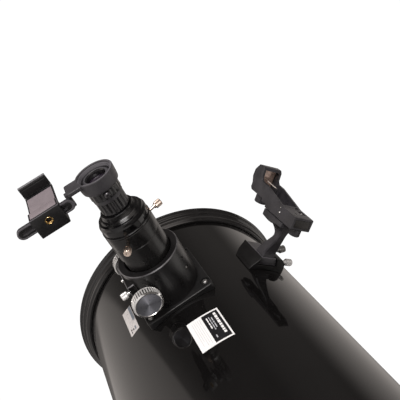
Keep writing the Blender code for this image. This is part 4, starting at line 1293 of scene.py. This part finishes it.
# the stem's bevels take the painted highlight grey
ob = soften(to_object("bracket_stem", bm, [FINDER_BLACK, LINE_HIGHLIGHT_GREY]), 0.5, 2,
            40, True, 1)
bm = bmesh.new()
pts = [(69.6, -117), (69.6, -160), (63, -160), (62.4, -150), (59.8, -139),
       (59.6, -131), (61.0, -117)]
prism(bm, [(z, h) for h, z in pts], -13.5, 13.5, FB)
plat = soften(to_object("plat", bm, FINDER_BLACK), 0.9, 3)
bm = bmesh.new()
stem(bm)
stm = to_object("stm", bm, FINDER_BLACK)
bm = bmesh.new()
box(bm, (67, 70.2), (-9, 9), (-141, -135), FIND)
piv = to_object("piv", bm, FINDER_BLACK)
for t in (stm, plat, piv):
    m = ob.modifiers.new("u", "BOOLEAN")
    m.operation, m.solver, m.object = "UNION", "EXACT", t
bake(ob)
for t in (stm, plat, piv):
    bpy.data.objects.remove(t, do_unlink=True)
place(ob, "finder_arm", ["finder_bracket"])

# -------------------------------------------------------------- finder body


def finder_outline():
    raw = [(-178, 70.5, 1.2), (-178, 86, 1.6), (-150, 86.6, 4),
           (-137, 89.3, 8), (-104, 95.6, 6), (-92.3, 95.9, 3),
           (-88.4, 99.5, 3), (-87.2, 109.3, 3), (-84, 112.8, 2.2),
           (-74, 112.6, 3), (-67.3, 103.3, 3), (-67.5, 93.8, 4),
           (-72.1, 86, 1.5), (-72.4, 80.2, 1.2), (-76.1, 77.4, 1.0),
           (-104, 77.4, 0.6), (-106, 74.0, 0.6), (-115.5, 74.0, 0.6),
           (-116.5, 70.5, 0.4)]
    return rounded(raw, 1.0, 4, True)


bm = bmesh.new()
prism(bm, finder_outline(), -14, 14, FB)
ob = to_object("finder_shell", bm, [FINDER_BLACK, FINDER_REAR])
soften(ob, 1.1, 3, 55)
carve(ob, [lambda bm: box(bm, (82, 109.2), (-11, 11), (-145, -55), FIND)])


def drill(h, z, m, r, depth, side):
    fr = along(FIND, (h, m, z), side)
    return lambda bm: lathe(bm, [(0, -depth), (r, -depth), (r, 3), (0, 3)],
                            32, fr)


carve(ob, [drill(77.8, -147, -14, 1.5, 1.2, (0, -1, 0)),
           drill(84.0, -146, -14, 1.2, 1.2, (0, -1, 0)),
           drill(77.8, -147, 14, 1.5, 1.2, (0, 1, 0)),
           drill(86.2, -161, 7.2, 1.7, 1.8, (1, 0, 0)),
           drill(86.2, -166, -5, 1.6, 1.4, (1, 0, 0)),
           lambda bm: box(bm, (85.2, 90), (3.2, 11.0), (-166, -156), FIND),
           lambda bm: box(bm, (85.2, 90), (5.0, 10.2), (-151, -147), FIND),
           # the rear end's recessed panel
           lambda bm: box(bm, (73.2, 83.6), (-11.2, 11.2), (-180, -177.5),
                          FIND),
           # battery door's outline on the rear half
           lambda bm: box(bm, (86.0, 88), (-12.5, 12.5), (-153.4, -152.9),
                          FIND)])
place(ob, "finder_head", ["finder_body"])


def small_screw(name, h, m, z, side, r, mat, body):
    fr = along(FIND, (h, m, z), side)
    turned(name, [(0, -1.1), (r, -1.1), (r, -0.5), (r * 0.6, 0.05),
                  (0, 0.1)], 32, fr, mat, body, f=0.2,
           cuts=[lambda bm: box(bm, (-r, r), (-0.16, 0.16), (-0.25, 2), fr)])


small_screw("finder_screw_left_low", 77.8, -14, -147, (0, -1, 0), 1.35,
            NICKEL, "finder_head")
small_screw("finder_screw_left_high", 84.0, -14, -146, (0, -1, 0), 1.05,
            NICKEL, "finder_head")
small_screw("finder_screw_right_low", 77.8, 14, -147, (0, 1, 0), 1.35,
            NICKEL, "finder_head")
bm = bmesh.new()
box(bm, (73.6, 83.2), (-10.8, 10.8), (-177.9, -177.3), FIND)
place(soften(to_object("finder_rear_panel", bm, FINDER_REAR), 0.2, 2),
      "finder_head", [])
small_screw("finder_screw_top_a", 86.2, 7.2, -161, (1, 0, 0), 1.5, NICKEL,
            "finder_head")
small_screw("finder_screw_top_b", 86.2, -5, -166, (1, 0, 0), 1.45,
            DARK_STEEL, "finder_head")

bm = bmesh.new()
box(bm, (82.4, 108.8), (-10.6, 10.6), (-79.5, -77.3), FIND)
ob = soften(to_object("finder_window", bm, WINDOW), 0.3, 2)
place(ob, "finder_head", ["finder_lens"])
# the light source's post in the trough, and forward of it a thin bright rod that is a
# painted highlight along the trough
bm = bmesh.new()
box(bm, (81.6, 94.6), (-1.6, 1.6), (-108.6, -105.4), FIND)
place(soften(to_object("lamp_post", bm, FINDER_BLACK), 0.5, 2),
      "finder_head", [])
bm = bmesh.new()
lathe(bm, rounded([(0, 0), (0.62, 0), (0.62, 23.4), (0, 23.4)], 0.4), 24,
      along(FIND, (94.2, 0, -106.5), (0.03, 0, 1)))
place(to_object("trough_highlight_rod", bm, TROUGH_HIGHLIGHT), "finder_head", [])

turned("brightness_dial", [
    (0, 0), (7.8, 0), (8.6, 0.9), (8.6, 9.4), (7.9, 10.2), (0, 10.2)], 144,
    along(FIND, (66.6, -3.5, -91), (1, 0, 0)), FINDER_BLACK, "dial",
    ["finder_dial"], f=0.4, wave=ribs(24, 0.5, 8.3))
turned("adjuster_wheel", [
    (0, 0), (6.0, 0), (6.8, 0.9), (6.8, 8.2), (6.2, 8.8), (0, 8.8)], 144,
    along(FIND, (61.4, 0, -171), (1, 0, 0)), FINDER_BLACK, "adjuster",
    ["finder_adjuster"], f=0.4, wave=ribs(24, 0.45, 6.5))

# ------------------------------------------------------- labels on the tube


def patch(bm, ph0, ph1, z0, z1, lift, nu=14, nz=2, mat=0, wedge=0.0):
    """Thin sheet on the tube's skin between two angles and two heights."""
    r0, r1 = TUBE_R + lift - 0.04, TUBE_R + lift
    grid = {}
    for s, r in enumerate((r0, r1)):
        for i in range(nu + 1):
            for k in range(nz + 1):
                a = math.radians(ph0 + (ph1 - ph0) * i / nu)
                z = z0 + (z1 - z0) * k / nz
                grid[s, i, k] = bm.verts.new(TUBE @ Vector((
                    r * math.cos(a), r * math.sin(a), z)))

    def face(*keys):
        f = bm.faces.new([grid[k] for k in keys])
        f.material_index = mat
    for i in range(nu):
        for k in range(nz):
            face((1, i, k), (1, i + 1, k), (1, i + 1, k + 1), (1, i, k + 1))
            face((0, i, k), (0, i, k + 1), (0, i + 1, k + 1), (0, i + 1, k))
        face((0, i, 0), (0, i + 1, 0), (1, i + 1, 0), (1, i, 0))
        face((0, i, nz), (1, i, nz), (1, i + 1, nz), (0, i + 1, nz))
    for k in range(nz):
        face((0, 0, k), (1, 0, k), (1, 0, k + 1), (0, 0, k + 1))
        face((0, nu, k), (0, nu, k + 1), (1, nu, k + 1), (1, nu, k))


def label(name, mats, pieces, body="tube"):
    bm = bmesh.new()
    for p in pieces:
        patch(bm, *p)
    ob = to_object(name, bm, mats)
    place(ob, body, [])
    return ob


P0, P1, Z0, Z1 = -2.7, 12.1, -201.0, -247.4
rows = [(P0, P1, Z0, Z1, 0.12, 24, 2, 0)]
rows += [(4.05, 11.45, -203.0, -245.4, 0.17, 16, 2, 1)]
# rows of plain blocks in place of any wording
def dashes(a, b, z0, lengths, gap, mat):
    z = z0
    for n in lengths:
        rows.append((a, b, z, z - n, 0.21, 2, 1, mat))
        z -= n + gap


dashes(9.15, 10.25, -206.0, (3.4, 4.2, 2.2, 4.6, 3.0, 3.8, 2.6, 3.2), 0.9, 0)
dashes(7.55, 8.0, -210.5, (5.0, 3.2, 6.4), 0.9, 2)
dashes(6.6, 7.0, -208.5, (2.6, 4.4, 3.0, 5.2, 2.4), 0.8, 2)
dashes(5.5, 6.0, -208.5, (7.0, 3.6, 4.8), 0.9, 0)
dashes(5.5, 6.0, -236.0, (4.2,), 0.9, 2)
for a, z1 in ((2.9, -243), (2.0, -240), (1.1, -243), (0.2, -236),
              (-0.7, -241)):
    rows.append((a - 0.11, a + 0.11, -205, z1, 0.17, 2, 1, 3))
label("tube_label", [PAPER, PAPER_BLACK, PAPER_GREY, PAPER_PALE], rows)
label("tube_sticker_silver", [SILVER_FOIL, SLATE, PAPER_BLACK], [
    (-28.0, -22.0, -104.6, -148.3, 0.12, 8, 2, 0),
    (-23.7, -22.2, -104.8, -130.0, 0.16, 4, 1, 1),
    (-26.9, -26.1, -139.0, -141.5, 0.16, 2, 1, 2),
    (-25.6, -24.8, -140.5, -143.5, 0.16, 2, 1, 2),
    (-26.9, -26.3, -143.0, -145.6, 0.16, 2, 1, 2),
    (-24.3, -23.5, -139.0, -145.0, 0.16, 2, 1, 1)])

# -------------------------------------------------- rocker box, ground board
for name in ("front_panel", "side_panel_left", "side_panel_right"):
    o = NODES[name]
    o.data.materials.clear()
    o.data.materials.append(BOARD)
    m = o.modifiers.new("edge", "BEVEL")
    m.width, m.segments, m.limit_method = 0.0012, 3, "ANGLE"
    m.angle_limit = math.radians(25)
for name, z0, z1, body, node in (
        ("base_disc_lower", 22.3, 40.0, "base", "ground_board"),
        ("base_disc_upper", 48.3, 66.0, "rocker", "rocker_base")):
    bm = bmesh.new()
    lathe(bm, rounded([(5.6, z0), (270, z0, 1.6), (270, z1, 2.2),
                       (5.6, z1)], 0.5, 5, True), 256, GROUND, True, None,
          lambda r, z: 1 if r > 269 else 0)
    place(to_object(name, bm, [BOARD, BANDING]), body, [node])
for i in range(3):
    t = math.radians(90 + 120 * i)
    fr = GROUND @ Matrix.Translation((225 * math.cos(t), 225 * math.sin(t),
                                      0))
    turned("rubber_foot_%d" % (i + 1), [
        (0, 0), (23, 0, 1.5), (27.4, 4.5, 2), (28, 10, 2), (28, 22, 0.8),
        (0, 22)], 96, fr, RUBBER, "base", ["foot_%d" % (i + 1)],
        wave=ribs(36, 0.5, 27.0))
turned("bearing_ring", [(150, 40.3), (190, 40.3), (190, 48.0), (150, 48.0)],
       192, GROUND, PTFE, "base", ["roller_ring"], ring=True,
       f=0.8)
turned("centre_bolt", [
    (0, 6), (13, 6), (13, 21.9), (5, 21.9), (5, 66.4), (13, 66.4),
    (13, 74), (0, 74)], 96, GROUND, NICKEL, "base", ["pivot_bolt"],
    f=0.6, cuts=[lambda bm: prism(bm, [
        (5 * math.cos(math.radians(60 * k)), 5 * math.sin(math.radians(
            60 * k))) for k in range(6)], 70, 80, GROUND)])
for side, sx in (("left", -1), ("right", 1)):
    lo, hi = sorted((sx * 170.0, sx * 188.0))
    bm = bmesh.new()
    prism(bm, arc(0, 611, 60.5, -160, -20, 48) + arc(0, 611, 62.9, -20, -160,
                                                     48), lo, hi, GROUND,
          "x")
    ob = soften(to_object("cradle_pad_" + side, bm, PTFE), 0.25, 2, 50)
    place(ob, "rocker", ["cradle_liner_" + side])
# confirmat bolts through the side panels, caps flush
for side, sx in (("left", -1), ("right", 1)):
    for k, (y, z) in enumerate(((177.5, 110), (177.5, 240), (177.5, 360),
                                (-120, 57), (0, 57), (120, 57))):
        if z < 66:
            continue
        fr = GROUND @ Matrix.Translation((sx * 188.0, y, z)) @ \
            Matrix.Rotation(math.radians(90 * sx), 4, "Y")
        turned("panel_bolt_%s_%d" % (side, k + 1), [
            (0, -0.2), (6.5, -0.2), (6.5, 0.9, 0.5), (5.0, 1.6, 0.5),
            (0, 1.6)], 48, fr, DARK_STEEL, "rocker", f=0.3,
            cuts=[hexagon(2.4, 0.4, 3, fr)])

# ---------------------------------------------------------------- the rest
for name, o in NODES.items():
    if not o.hide_render and name not in ("front_panel", "side_panel_left",
                                          "side_panel_right"):
        print("still the CAD node:", name)

lo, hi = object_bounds()
